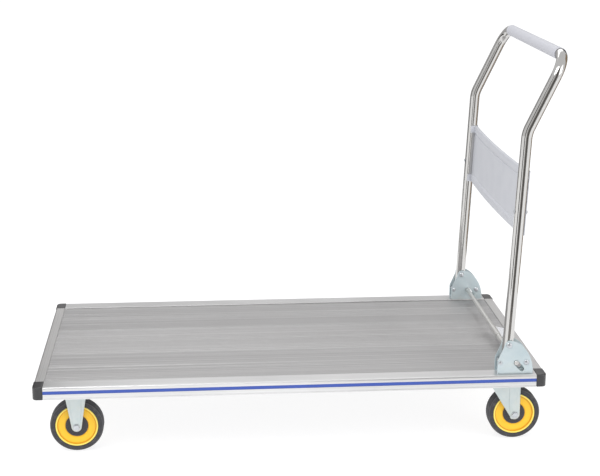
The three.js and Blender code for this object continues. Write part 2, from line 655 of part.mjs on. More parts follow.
function lockBarGeometry() {
  const reach = LEG_Y + WALL_OUTER + LOCK_BAR_PROUD;
  const bevel = 1;
  return turned([[0, -reach], [LOCK_BAR_RADIUS - bevel, -reach], [LOCK_BAR_RADIUS, -reach + bevel],
    [LOCK_BAR_RADIUS, reach - bevel], [LOCK_BAR_RADIUS - bevel, reach], [0, reach]], 16);
}

// A foot plate that slopes down behind the bar, on a collar around it.
function pedalGeometry() {
  const half = PEDAL_WIDTH / 2;
  const collar = across(disc(LOCK_BAR_RADIUS + 3.5), -half, half, 8);
  const plate = upright(roundedRectangle(PEDAL_REACH, PEDAL_WIDTH, 6), -PEDAL_THICKNESS / 2,
    PEDAL_THICKNESS / 2, 3).translate(PEDAL_REACH / 2 + LOCK_BAR_RADIUS / 2, 0, 0).rotateY(PEDAL_SLOPE);
  const bore = across(disc(LOCK_BAR_RADIUS + GAP), -half - 1, half + 1, 8);
  return cut(union(collar, plate), bore);
}

function addLock() {
  const place = new THREE.Group();
  place.position.set(PIVOT.x + LOCK_REST.x, 0, PIVOT.z + LOCK_REST.y);
  cart.add(place);
  add('lock_bar', lockBarGeometry(), steel, place);
  add('lock_pedal', pedalGeometry(), greyPlastic, place).position.y = PEDAL_OFFSET;
}

// ---------------------------------------------------------------- casters

const FORK_INNER = HUB_LENGTH / 2 + 1;
const FORK_OUTER = FORK_INNER + FORK_WALL;
const CASTER_PLATE_BOTTOM = UNDERSIDE - FORK_WALL;
const RACE_BOTTOM = CASTER_PLATE_BOTTOM - RACE_HEIGHT;
const CROWN_TOP = RACE_BOTTOM - 1;
const CROWN_BOTTOM = CROWN_TOP - FORK_WALL;

// Top plate of a caster with the heads of its four bolts below it.
function casterPlate() {
  const plate = upright(roundedRectangle(CASTER_PLATE_LENGTH, CASTER_PLATE_WIDTH, 8),
    CASTER_PLATE_BOTTOM, UNDERSIDE, 2);
  const [x, y] = [CASTER_PLATE_LENGTH / 2 - 11, CASTER_PLATE_WIDTH / 2 - 9];
  const heads = [[x, y], [-x, y], [-x, -y], [x, -y]].map(([headX, headY]) =>
    new THREE.CylinderGeometry(6.5, 6.5, 6, 6).rotateX(Math.PI / 2)
      .translate(headX, headY, CASTER_PLATE_BOTTOM - 2));
  return union(plate, ...heads);
}

// Both legs of a fork, from an outline in X and Z.
function forkLegs(outline) {
  return [across(outline, FORK_INNER, FORK_OUTER, 5), across(outline, -FORK_OUTER, -FORK_INNER, 5)];
}

function axleBore(x) {
  return across(disc(AXLE_RADIUS + BORE_CLEARANCE), -FORK_OUTER - 1, FORK_OUTER + 1, 6)
    .translate(x, 0, WHEEL_RADIUS);
}

function rigidForkGeometry() {
  const [topHalf, footRadius] = [28, 12];
  const legs = new THREE.Shape();
  legs.moveTo(topHalf, CASTER_PLATE_BOTTOM + 1);
  legs.lineTo(-topHalf, CASTER_PLATE_BOTTOM + 1);
  legs.lineTo(-topHalf, CASTER_PLATE_BOTTOM - 8);
  legs.absarc(0, WHEEL_RADIUS, footRadius, Math.PI * 1.04, Math.PI * 1.96, false);
  legs.lineTo(topHalf, CASTER_PLATE_BOTTOM - 8);
  return cut(union(casterPlate(), ...forkLegs(legs)), axleBore(0));
}

// Top plate of a swivel caster, with the upper race and the kingpin that carries the fork.
function swivelPlateGeometry() {
  const nutTop = CROWN_BOTTOM - 1;
  const nutBottom = nutTop - 6;
  const profile = [[0, nutBottom], [9, nutBottom], [10, nutBottom + 1], [10, nutTop],
    [KINGPIN_RADIUS, nutTop], [KINGPIN_RADIUS, RACE_BOTTOM], [RACE_RADIUS - 3, RACE_BOTTOM],
    [RACE_RADIUS, RACE_BOTTOM + 2], [RACE_RADIUS, RACE_BOTTOM + 4],
    [RACE_RADIUS - 6, CASTER_PLATE_BOTTOM + 1], [0, CASTER_PLATE_BOTTOM + 1]];
  return union(casterPlate(), turned(profile, 16).rotateX(Math.PI / 2));
}

function swivelForkGeometry() {
  const footRadius = 12.5;
  const front = -35;
  const legs = new THREE.Shape();
  legs.moveTo(TRAIL + footRadius, CROWN_TOP);
  legs.lineTo(front, CROWN_TOP);
  legs.lineTo(front, CROWN_BOTTOM - 6);
  legs.absarc(TRAIL, WHEEL_RADIUS, footRadius, Math.PI * 1.12, Math.PI * 2, false);
  const length = TRAIL + footRadius - front;
  const crown = new THREE.BoxGeometry(length, 2 * FORK_INNER + FORK_WALL, FORK_WALL)
    .translate(front + length / 2, 0, (CROWN_TOP + CROWN_BOTTOM) / 2);
  const race = turned([[0, CROWN_BOTTOM + 1], [RACE_RADIUS + 1, CROWN_BOTTOM + 1],
    [RACE_RADIUS + 1, CROWN_TOP - 1], [RACE_RADIUS, CROWN_TOP], [0, CROWN_TOP]], 16).rotateX(Math.PI / 2);
  const kingpinBore = upright(disc(KINGPIN_RADIUS + 2 * BORE_CLEARANCE), CROWN_BOTTOM - 1, CROWN_TOP + 1, 6);
  return cut(union(crown, race, ...forkLegs(legs)), kingpinBore, axleBore(TRAIL));
}

function tyreGeometry() {
  const [inner, half, round] = [WHEEL_CENTRE_RADIUS + GAP, TYRE_WIDTH / 2, 5];
  return turned([[inner, -half], [WHEEL_RADIUS - round, -half], [WHEEL_RADIUS, -half + round],
    [WHEEL_RADIUS, half - round], [WHEEL_RADIUS - round, half], [inner, half], [inner, -half]], 30);
}

function wheelCentreGeometry() {
  const [rim, bore, half] = [WHEEL_CENTRE_RADIUS, HUB_RADIUS + GAP, TYRE_WIDTH / 2];
  const [rimInner, web, bossOuter] = [rim - 4, 5, bore + 5];
  return turned([[bore, -half], [bossOuter, -half], [bossOuter, -web], [rimInner - 2, -web],
    [rimInner, -half], [rim, -half], [rim, half], [rimInner, half], [rimInner - 2, web],
    [bossOuter, web], [bossOuter, half], [bore, half], [bore, -half]], 20);
}

function hubGeometry() {
  const [bore, face, half] = [AXLE_RADIUS + BORE_CLEARANCE, TYRE_WIDTH / 2, HUB_LENGTH / 2];
  const collar = 10;
  return turned([[bore, -half], [collar, -half], [collar, -face], [HUB_RADIUS, -face],
    [HUB_RADIUS, face], [collar, face], [collar, half], [bore, half], [bore, -half]], 20);
}

function addWheel(name, parent, x) {
  const place = new THREE.Group();
  place.position.set(x, 0, WHEEL_RADIUS);
  parent.add(place);
  add(`tyre_${name}`, tyreGeometry(), rubber, place);
  add(`wheel_centre_${name}`, wheelCentreGeometry(), yellowPlastic, place);
  add(`wheel_hub_${name}`, hubGeometry(), darkPlastic, place);
  add(`axle_${name}`, headedPin(AXLE_RADIUS, FORK_OUTER, 9, 5), steel, place);
}

function addCasters() {
  for (const [side, sign] of SIDES) {
    const front = new THREE.Group();
    front.position.set(FRONT_AXLE, sign * WHEEL_Y, 0);
    cart.add(front);
    add(`rigid_fork_${side}`, rigidForkGeometry(), zinc, front);
    addWheel(`front_${side}`, front, 0);
    const rear = new THREE.Group();
    rear.position.set(DECK_LENGTH - SWIVEL_FROM_END, sign * WHEEL_Y, 0);
    cart.add(rear);
    add(`swivel_plate_${side}`, swivelPlateGeometry(), zinc, rear);
    add(`swivel_fork_${side}`, swivelForkGeometry(), zinc, rear);
    addWheel(`rear_${side}`, rear, TRAIL);
  }
}

addRails();
addCaps();
addPlanks();
addCrossMembers();
addHandle();
addBrackets();
addLock();
addCasters();

export default root;
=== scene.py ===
# Looks of the folding platform cart: fine meshes, materials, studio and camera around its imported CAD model.
# The scene is in metres, in the CAD's frame: +Z up, +X towards the handle end, floor at Z = 0.
# Shapes are written in millimetres and scaled when they become pieces.
import json
import math

import bmesh
import bpy
from mathutils import Matrix, Vector


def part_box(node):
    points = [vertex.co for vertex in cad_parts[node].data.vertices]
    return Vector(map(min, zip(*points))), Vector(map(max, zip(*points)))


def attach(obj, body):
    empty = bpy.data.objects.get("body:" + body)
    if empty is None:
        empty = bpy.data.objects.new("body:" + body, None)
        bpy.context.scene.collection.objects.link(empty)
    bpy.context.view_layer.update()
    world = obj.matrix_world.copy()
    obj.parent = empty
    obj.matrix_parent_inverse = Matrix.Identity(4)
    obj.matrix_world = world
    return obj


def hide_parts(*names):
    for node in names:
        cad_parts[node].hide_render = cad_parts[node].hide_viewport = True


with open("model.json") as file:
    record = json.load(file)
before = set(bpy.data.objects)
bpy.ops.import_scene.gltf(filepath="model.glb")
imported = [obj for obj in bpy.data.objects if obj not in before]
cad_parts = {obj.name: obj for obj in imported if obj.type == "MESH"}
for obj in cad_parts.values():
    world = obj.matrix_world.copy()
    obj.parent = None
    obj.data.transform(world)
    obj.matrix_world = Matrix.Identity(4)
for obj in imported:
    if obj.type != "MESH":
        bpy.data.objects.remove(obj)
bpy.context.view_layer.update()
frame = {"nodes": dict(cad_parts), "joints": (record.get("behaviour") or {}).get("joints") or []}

MM = 0.001
SIDES = (("left", -1), ("right", 1))      # name of a side and the sign of its Y
ENDS = (("front", -1), ("rear", 1))       # name of an end and the sign of its X

# ---------------------------------------------------------------- sizes in millimetres

HANDLE_LEAN = math.radians(2.9)           # the legs, from upright
UPPER_LEAN = math.radians(25.4)
LOWER_LENGTH = 502                        # pivot to the middle of the bend
UPPER_LENGTH = 190                        # middle of the bend to the crossbar's axis
LEG_STUB = 38
BEND_RADIUS = 70
CORNER_RADIUS = 50
TUBE_RADIUS = 12.7
TUBE_WALL = 2
PLAY = 0.3                                # between pieces that touch

PANEL_BOTTOM = 263                        # along the leg, from the pivot
PANEL_HEIGHT = 152
PANEL_SET = 9                             # ends of the panel behind the legs' axes
PANEL_BOW = 6
PANEL_DIP = 2
PANEL_THICKNESS = 4
PANEL_BAND = 19
PANEL_BAND_EXTRA = 2
GROOVE_DEPTH = 1.2                        # below the panel's top band, in each face
RIDGE_HEIGHT = 1.4                        # above its bottom band, on each face
PANEL_SCREW = 55                          # above the panel's bottom edge
CLIP_WALL = 2.4
CLIP_STEP = 0.25                          # the clip's middle is thinner by this on each face
CLIP_REAR = math.radians(22)              # reach of the clip past the back of the leg
CLIP_INNER = math.radians(65)             # and round its inner side, from its back
BAND_INNER = math.radians(115)            # the same at the bands, which hold the leg

BRACKET_WALL = 3
BRACKET_INNER = TUBE_RADIUS + 0.8         # inner face of a bracket wall, from the leg's axis
BRACKET_OUTER = BRACKET_INNER + BRACKET_WALL
PIN_HOLE = 4.3                            # of the stop pin and the spacer bolt
PIVOT_HOLE = 5.3
LOCK_BAR_RADIUS = 5.5
LOCK_TRAVEL = 20
PEDAL_REACH = 36
PEDAL_SLOPE = math.radians(10)

WHEEL_RADIUS = 63.5
WHEEL_CENTRE_RADIUS = 50
HUB_RADIUS = 26.5
TYRE_HALF = 17
FORK_INNER = 21.5
FORK_OUTER = 25
FORK_WALL = 3.5
AXLE_HOLE = 5.3

ROUND_STEP = math.radians(15)             # longest step along a rounded corner

# ---------------------------------------------------------------- places from the CAD model

JOINTS = {joint["name"]: joint for joint in frame["joints"]}


def joint_place(name):
    return Vector(JOINTS[name]["pos_m"]) / MM


def low_high(node):
    low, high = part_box(node)
    return low / MM, high / MM


def middle(node):
    low, high = low_high(node)
    return (low + high) / 2


PIVOT = joint_place("handle_fold")
LEG_Y = middle("pivot_bolt_right").y
HANDLE = Matrix.Translation(PIVOT) @ Matrix.Rotation(HANDLE_LEAN, 4, "Y")
UNDERSIDE = low_high("cross_member_1")[1].z

# ---------------------------------------------------------------- flat outlines


def corner_arc(before, here, after, radius):
    """Points of the arc that rounds the corner at here."""
    into = before - here
    out = after - here
    half = into.angle(out) / 2
    cut = min(radius / math.tan(half), 0.49 * into.length, 0.49 * out.length)
    radius = cut * math.tan(half)
    start = here + into.normalized() * cut
    end = here + out.normalized() * cut
    centre = here + (into.normalized() + out.normalized()).normalized() * radius / math.sin(half)
    first = start - centre
    last = end - centre
    turn = math.atan2(first.x * last.y - first.y * last.x, first.dot(last))
    count = max(2, math.ceil(abs(turn) / ROUND_STEP))
    return [centre + Matrix.Rotation(turn * i / count, 2) @ first for i in range(count + 1)]


def rounded(corners, closed=True):
    """An outline from corners (x, y, radius), each rounded by its radius."""
    points = []
    last = len(corners) - 1
    for i, (x, y, radius) in enumerate(corners):
        here = Vector((x, y))
        if radius == 0 or (not closed and i in (0, last)):
            points.append(here)
            continue
        before = Vector(corners[i - 1][:2])
        after = Vector(corners[(i + 1) % len(corners)][:2])
        points.extend(corner_arc(before, here, after, radius))
    return points


def arc(x, y, radius, start, end, step=ROUND_STEP):
    count = max(2, math.ceil(abs(end - start) / step))
    turns = [start + (end - start) * i / count for i in range(count + 1)]
    return [Vector((x + radius * math.cos(turn), y + radius * math.sin(turn))) for turn in turns]


def rounded_profile(corners):
    """An open profile (radius, distance along) from corners, each rounded by its radius."""
    return [(point.x, point.y) for point in rounded(corners, closed=False)]


def both_ways(half):
    """A profile from its half at the axis's high end, followed by that half mirrored."""
    return half + [(radius, -along) for radius, along in reversed(half)]


def circle(x, y, radius, steps=32):
    return arc(x, y, radius, 0, 2 * math.pi, 2 * math.pi / steps)[:-1]


def rectangle(width, height, radius):
    x, y = width / 2, height / 2
    return rounded([(-x, -y, radius), (x, -y, radius), (x, y, radius), (-x, y, radius)])


def hexagon(across_flats):
    reach = across_flats / math.sqrt(3)
    return circle(0, 0, reach, 6)


def shifted(points, x, y):
    return [point + Vector((x, y)) for point in points]


def signed_area(points):
    pairs = zip(points, points[1:] + points[:1])
    return sum(a.x * b.y - a.y * b.x for a, b in pairs) / 2


def inset_directions(points):
    """For each point of a loop, the step that moves both its edges one unit to their left."""
    steps = []
    for i, here in enumerate(points):
        into = (here - points[i - 1]).normalized()
        out = (points[(i + 1) % len(points)] - here).normalized()
        first = Vector((-into.y, into.x))
        second = Vector((-out.y, out.x))
        steps.append((first + second) / max(0.3, 1 + first.dot(second)))
    return steps


# ---------------------------------------------------------------- closed bodies

PLACE = {
    "X": lambda a, b, along: (along, a, b),
    "Y": lambda a, b, along: (a, along, b),
    "Z": lambda a, b, along: (a, b, along),
}


def join_rings(body, first, second):
    """Faces between two closed rings, either of which may be a single point."""
    count = max(len(first), len(second))
    for i in range(count):
        j = (i + 1) % count
        corners = [first[i % len(first)], first[j % len(first)]]
        corners += [second[j % len(second)], second[i % len(second)]]
        body.faces.new(list(dict.fromkeys(corners)))


def turned(profile, axis="Y", steps=72):
    """A turned body. Its profile of (radius, distance along the axis) closes on the axis or on itself."""
    body = bmesh.new()
    rings = []
    for radius, along in profile:
        turns = [2 * math.pi * i / steps for i in range(steps if radius > 0 else 1)]
        spots = [PLACE[axis](radius * math.cos(turn), radius * math.sin(turn), along) for turn in turns]
        rings.append([body.verts.new(spot) for spot in spots])
    pairs = list(zip(rings, rings[1:]))
    if profile[0][0] > 0:
        pairs.append((rings[-1], rings[0]))
    for first, second in pairs:
        join_rings(body, first, second)
    return body


def prism(outline, holes, low, high, axis="Y", bevel=0.4, steps=2, high_bevel=None):
    """A plate between two heights along the axis, with rounded rims on its outline and its holes."""
    loops = [outline if signed_area(outline) > 0 else outline[::-1]]
    loops += [hole if signed_area(hole) < 0 else hole[::-1] for hole in holes]
    turns = [math.pi / 2 * i / steps for i in range(steps + 1)]
    shape = [(1 - math.sin(turn), 1 - math.cos(turn)) for turn in turns]
    top = bevel if high_bevel is None else high_bevel
    heights = [(bevel * inset, low + bevel * rise) for inset, rise in shape]
    heights += [(top * inset, high - top * rise) for inset, rise in reversed(shape)]
    body = bmesh.new()
    ends = ([], [])
    for loop in loops:
        directions = inset_directions(loop)
        rings = []
        for inset, height in heights:
            flat = [point + step * inset for point, step in zip(loop, directions)]
            rings.append([body.verts.new(PLACE[axis](point.x, point.y, height)) for point in flat])
        for first, second in zip(rings, rings[1:]):
            join_rings(body, first, second)
        ends[0].append(rings[0])
        ends[1].append(rings[-1])
    for rings in ends:
        rim = [body.edges.get((ring[i - 1], ring[i])) for ring in rings for i in range(len(ring))]
        bmesh.ops.triangle_fill(body, use_beauty=True, use_dissolve=False, edges=rim)
    return body


def moved(body, x=0, y=0, z=0):
    bmesh.ops.translate(body, vec=(x, y, z), verts=body.verts)
    return body


def transformed(body, matrix):
    bmesh.ops.transform(body, matrix=matrix, verts=body.verts)
    return body


def together(*bodies):
    """Separate closed bodies in one mesh."""
    whole = bmesh.new()
    for body in bodies:
        mesh = bpy.data.meshes.new("part")
        body.to_mesh(mesh)
        whole.from_mesh(mesh)
        bpy.data.meshes.remove(mesh)
    return whole


def scratch_object(body):
    bmesh.ops.recalc_face_normals(body, faces=body.faces)
    mesh = bpy.data.meshes.new("scratch")
    body.to_mesh(mesh)
    thing = bpy.data.objects.new("scratch", mesh)
    bpy.context.scene.collection.objects.link(thing)
    return thing


def combined(operation, base, tools):
    """The base body with the tools joined to it or cut from it."""
    things = [scratch_object(body) for body in (base, *tools)]
    for tool in things[1:]:
        modifier = things[0].modifiers.new("combine", "BOOLEAN")
        modifier.operation = operation
        modifier.solver = "EXACT"
        modifier.object = tool
    graph = bpy.context.evaluated_depsgraph_get()
    mesh = bpy.data.meshes.new_from_object(things[0].evaluated_get(graph))
    body = bmesh.new()
    body.from_mesh(mesh)
    bpy.data.meshes.remove(mesh)
    for thing in things:
        bpy.data.meshes.remove(thing.data)
    bmesh.ops.remove_doubles(body, verts=body.verts, dist=1e-4)
    return body


def fused(base, *tools):
    return combined("UNION", base, tools)


def drilled(base, *tools):
    return combined("DIFFERENCE", base, tools)


def softened(node, width, steps=2):
    """The CAD node's shape with its coplanar triangles joined and its sharp edges rounded."""
    body = bmesh.new()
    body.from_mesh(frame["nodes"][node].data)
    bmesh.ops.scale(body, vec=(1 / MM, 1 / MM, 1 / MM), verts=body.verts)
    bmesh.ops.remove_doubles(body, verts=body.verts, dist=1e-3)
    bmesh.ops.dissolve_limit(body, angle_limit=math.radians(0.5), verts=body.verts, edges=body.edges)
    sharp = [edge for edge in body.edges if edge.calc_face_angle(0) > math.radians(28)]
    bmesh.ops.bevel(body, geom=sharp, offset=width, segments=steps, profile=0.5, affect="EDGES",
                    clamp_overlap=True)
    return body


def even_normals(mesh):
    """The mesh with normals that leave its large faces flat beside their rounded edges."""
    name = mesh.name
    holder = bpy.data.objects.new("holder", mesh)
    bpy.context.scene.collection.objects.link(holder)
    modifier = holder.modifiers.new("normals", "WEIGHTED_NORMAL")
    modifier.keep_sharp = True
    graph = bpy.context.evaluated_depsgraph_get()
    result = bpy.data.meshes.new_from_object(holder.evaluated_get(graph))
    bpy.data.meshes.remove(mesh)
    result.name = name
    return result


def piece(name, body, rides_on, slot, nodes=(), origin=(0, 0, 0), finish=None):
    """A finished mesh object that rides on a CAD body and stands for its CAD nodes."""
    bmesh.ops.recalc_face_normals(body, faces=body.faces)
    bmesh.ops.scale(body, vec=(MM, MM, MM), verts=body.verts)
    mesh = bpy.data.meshes.new(name)
    body.to_mesh(mesh)
    body.free()
    mesh.shade_smooth()
    mesh.set_sharp_from_angle(angle=math.radians(32))
    mesh.materials.append(FINISHES[finish or slot])
    thing = bpy.data.objects.new(name, even_normals(mesh))
    thing.location = Vector(origin) * MM
    bpy.context.scene.collection.objects.link(thing)
    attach(thing, rides_on)
    if nodes:
        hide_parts(*nodes)
    return thing


# ---------------------------------------------------------------- materials


def linear(red, green, blue):
    """Linear colour from display values of 0 to 255."""
    values = [value / 255 for value in (red, green, blue)]
    return tuple(v / 12.92 if v <= 0.04045 else ((v + 0.055) / 1.055) ** 2.4 for v in values) + (1.0,)


class Finish:
    """A material whose colour, roughness and surface vary by nodes."""

    def __init__(self, name, colour, roughness, metallic=0.0, **constants):
        self.material = bpy.data.materials.new(name)
        self.material.use_nodes = True
        self.tree = self.material.node_tree
        self.shader = self.tree.nodes["Principled BSDF"]
        self.shader.inputs["Metallic"].default_value = metallic
        for socket, value in constants.items():
            self.shader.inputs[socket.replace("_", " ")].default_value = value
        self.colour = colour
        self.roughness = roughness
        self.height = None
        self.place = self.add("ShaderNodeTexCoord").outputs["Object"]

    def add(self, kind, **values):
        node = self.tree.nodes.new(kind)
        for socket, value in values.items():
            self.put(node.inputs[socket.replace("_", " ")], value)
        return node

    def put(self, socket, value):
        if isinstance(value, bpy.types.NodeSocket):
            self.tree.links.new(value, socket)
        else:
            socket.default_value = value

    def stretched(self, scale):
        return self.add("ShaderNodeMapping", Vector=self.place, Scale=scale).outputs["Vector"]

    def noise(self, scale, stretch=(1, 1, 1), detail=3.0, roughness=0.5):
        node = self.add("ShaderNodeTexNoise", Vector=self.stretched(stretch), Scale=scale, Detail=detail,
                        Roughness=roughness)
        return node.outputs["Fac"]

    def cells(self, scale, feature="F1", output="Distance"):
        node = self.add("ShaderNodeTexVoronoi", Vector=self.place, Scale=scale)
        node.feature = feature
        return node.outputs[output]

    def level(self, value, start, end, low=0.0, high=1.0):
        """The value taken from start..end to low..high."""
        node = self.add("ShaderNodeMapRange", Value=value)
        node.inputs["From Min"].default_value = start
        node.inputs["From Max"].default_value = end
        node.inputs["To Min"].default_value = low
        node.inputs["To Max"].default_value = high
        return node.outputs["Result"]

    def maths(self, operation, first, second=0.0):
        node = self.tree.nodes.new("ShaderNodeMath")
        node.operation = operation
        self.put(node.inputs[0], first)
        self.put(node.inputs[1], second)
        return node.outputs[0]

    def ring(self, inner, outer, blur=0.4):
        """1 between two distances from the object's own Y axis, in millimetres."""
        split = self.add("ShaderNodeSeparateXYZ", Vector=self.place)
        squares = [self.maths("MULTIPLY", split.outputs[axis], split.outputs[axis]) for axis in ("X", "Z")]
        reach = self.maths("SQRT", self.maths("ADD", *squares))
        rise = self.level(reach, (inner - blur) * MM, (inner + blur) * MM)
        fall = self.level(reach, (outer + blur) * MM, (outer - blur) * MM)
        return self.maths("MULTIPLY", rise, fall)

    def tint(self, amount, colour, share=1.0):
        """Lays another colour over the present one by a share of the amount."""
        if share != 1.0:
            amount = self.maths("MULTIPLY", amount, share)
        node = self.tree.nodes.new("ShaderNodeMix")
        node.data_type = "RGBA"
        self.put(node.inputs["Factor"], amount)
        colours = [socket for socket in node.inputs if socket.type == "RGBA"]
        self.put(colours[0], self.colour)
        self.put(colours[1], colour)
        self.colour = [socket for socket in node.outputs if socket.type == "RGBA"][0]
        return self

    def stain(self, field, start, end, amount, colour):
        """Lays another colour over the present one where a field passes from start to end."""
        return self.tint(self.level(field, start, end, 0.0, amount), colour)

    def rougher(self, amount):
        self.roughness = self.maths("ADD", self.roughness, amount)
        return self

    def uneven(self, field, low, high):
        """Roughness changed by low to high as a field rises."""
        return self.rougher(self.level(field, 0.3, 0.7, low, high))

    def bump(self, height, strength, distance):
        """Relief of the given depth in millimetres."""
        node = self.add("ShaderNodeBump", Height=height, Strength=strength, Distance=distance * MM)
        if self.height is not None:
            self.tree.links.new(self.height, node.inputs["Normal"])
        self.height = node.outputs["Normal"]
        return self

    def edges(self, radius):
        """1 along convex and concave edges, 0 on flats."""
        node = self.add("ShaderNodeBevel", Radius=radius * MM)
        node.samples = 4
        plain = self.add("ShaderNodeNewGeometry").outputs["Normal"]
        dot = self.tree.nodes.new("ShaderNodeVectorMath")
        dot.operation = "DOT_PRODUCT"
        self.tree.links.new(node.outputs["Normal"], dot.inputs[0])
        self.tree.links.new(plain, dot.inputs[1])
        return self.level(dot.outputs["Value"], 0.99, 0.88)

    def wear(self, radius, colour, amount=0.6, scale=60):
        """Rubbed edges, broken up by noise."""
        broken = self.level(self.noise(scale), 0.35, 0.65, 0.3, 1.0)
        mask = self.maths("MULTIPLY", self.edges(radius), broken)
        return self.tint(mask, colour, amount)

    def done(self):
        self.put(self.shader.inputs["Base Color"], self.colour)
        self.put(self.shader.inputs["Roughness"], self.roughness)
        if self.height is not None:
            self.tree.links.new(self.height, self.shader.inputs["Normal"])
        return self.material


def extruded_aluminium(name, colour, roughness, metallic, along, contrast):
    """Extruded aluminium: straight lighter and darker lines along X or Y, partly drawing lines and partly
    painted highlight and shade standing for the light on the deck's ribs, with faint clouding and a few long
    scratches.
    """
    finish = Finish(name, colour, roughness, metallic=metallic)

    def stretch(across, lengthwise):
        return (lengthwise, across, across) if along == "X" else (across, lengthwise, across)

    drawing_lines_and_rib_light = finish.noise(1.0, stretch(300, 0.12), detail=2)
    wide = finish.noise(1.0, stretch(30, 0.05), detail=2)
    cloud = finish.noise(5, detail=4, roughness=0.6)
    scratch = finish.level(finish.noise(1.0, stretch(170, 7), detail=6), 0.66, 0.72)
    dark = tuple(value * 0.72 for value in colour[:3]) + (1.0,)
    light = tuple(min(1.0, value * 1.35) for value in colour[:3]) + (1.0,)
    finish.stain(wide, 0.4, 0.62, 0.16 * contrast, dark)
    # Lighter and darker lengthwise lines: partly drawing lines of the extrusion, partly painted highlight and
    # shade of the deck's ribs.
    finish.stain(drawing_lines_and_rib_light, 0.52, 0.62, 0.42 * contrast, light)
    finish.stain(drawing_lines_and_rib_light, 0.48, 0.38, 0.34 * contrast, dark)
    finish.stain(cloud, 0.45, 0.75, 0.12, dark)
    finish.wear(0.7, linear(236, 236, 236), 0.35)
    finish.uneven(cloud, -0.03, 0.08)
    finish.rougher(finish.maths("MULTIPLY", scratch, 0.1))
    finish.bump(drawing_lines_and_rib_light, 0.2, 0.08)
    return finish.done()


def chrome():
    """Polished chrome with a faint haze and a few smears."""
    finish = Finish("handle_chrome", linear(206, 205, 203), 0.06, metallic=1.0)
    haze = finish.noise(14, (1, 1, 0.25), detail=4)
    smear = finish.level(finish.noise(60, (1, 1, 0.15), detail=5), 0.55, 0.75)
    finish.stain(haze, 0.35, 0.75, 0.22, linear(178, 176, 172))
    finish.rougher(finish.level(haze, 0.3, 0.8, 0.0, 0.07))
    finish.rougher(finish.maths("MULTIPLY", smear, 0.08))
    finish.bump(finish.noise(90, detail=2), 0.05, 0.05)
    return finish.done()


def zinc(name, colour):
    """Bright zinc plate: pale blue-green with soft spangle and darker handling marks."""
    finish = Finish(name, colour, 0.32, metallic=0.45)
    spangle = finish.level(finish.cells(140, output="Color"), 0.2, 0.8)
    cloud = finish.noise(22, detail=5, roughness=0.6)
    fine = finish.noise(420, detail=2)
    finish.tint(spangle, linear(176, 198, 205), 0.16)
    finish.stain(cloud, 0.5, 0.75, 0.3, linear(214, 216, 198))
    finish.stain(finish.noise(9, detail=3), 0.52, 0.75, 0.28, linear(150, 176, 182))
    finish.wear(0.9, linear(236, 243, 245), 0.55)
    finish.uneven(cloud, -0.04, 0.14)
    finish.bump(fine, 0.12, 0.05)
    return finish.done()


def plated_steel(name, colour, roughness=0.28):
    """Plated fasteners with turned lines and darker hollows."""
    finish = Finish(name, colour, roughness, metallic=0.9)
    cloud = finish.noise(160, detail=4)
    finish.stain(cloud, 0.45, 0.75, 0.35, linear(140, 142, 146))
    finish.wear(0.4, linear(240, 240, 242), 0.6, 200)
    finish.uneven(cloud, 0.0, 0.14)
    finish.bump(finish.noise(700, detail=2), 0.15, 0.04)
    return finish.done()


def member_steel():
    """Pale sprayed steel with orange peel and dust."""
    finish = Finish("member_steel", linear(176, 178, 180), 0.5, metallic=0.35)
    cloud = finish.noise(12, detail=5)
    finish.stain(cloud, 0.45, 0.7, 0.35, linear(146, 147, 150))
    finish.wear(1.0, linear(214, 214, 214), 0.5)
    finish.uneven(cloud, -0.06, 0.1)
    finish.bump(finish.noise(500, detail=2), 0.2, 0.06)
    return finish.done()


def moulded(name, colour, light, dark, roughness, grain_scale, grain_depth, **constants):
    """Moulded plastic: clouded colour, fine grain, rubbed edges and dust in the hollows."""
    finish = Finish(name, colour, roughness, **constants)
    cloud = finish.noise(18, detail=4)
    grain = finish.noise(grain_scale, detail=3)
    finish.stain(cloud, 0.4, 0.75, 0.3, dark)
    finish.stain(grain, 0.55, 0.8, 0.25, light)
    finish.wear(0.8, light, 0.6)
    finish.uneven(cloud, -0.05, 0.08)
    finish.bump(grain, 0.4, grain_depth)
    return finish.done()


def rubber():
    """Dark grey tyre rubber: scuffs and dust on the tread, a painted highlight round the sidewall's rounded
    shoulder and a painted shade ring where the tyre meets the wheel centre.
    """
    finish = Finish("tyre_rubber", linear(58, 58, 62), 0.62)
    cloud = finish.noise(30, detail=5, roughness=0.65)
    scuff = finish.level(finish.noise(85, (1, 0.3, 1), detail=6), 0.5, 0.72)
    finish.stain(cloud, 0.42, 0.7, 0.5, linear(84, 83, 84))
    finish.tint(scuff, linear(122, 119, 116), 0.3)
    # Painted highlight: a lighter ring on the sidewall's rounded shoulder.
    finish.tint(finish.ring(WHEEL_RADIUS - 3.2, WHEEL_RADIUS - 1.8), linear(104, 103, 104), 0.6)
    # Painted shade: a darker ring in the crease where the tyre meets the wheel centre.
    finish.tint(finish.ring(WHEEL_CENTRE_RADIUS, WHEEL_CENTRE_RADIUS + 1.6), linear(34, 34, 36), 0.6)
    finish.wear(1.0, linear(112, 110, 110), 0.5, 90)
    finish.uneven(cloud, -0.08, 0.15)
    finish.bump(finish.noise(650, detail=3), 0.35, 0.12)
    finish.bump(scuff, 0.15, 0.15)
    return finish.done()


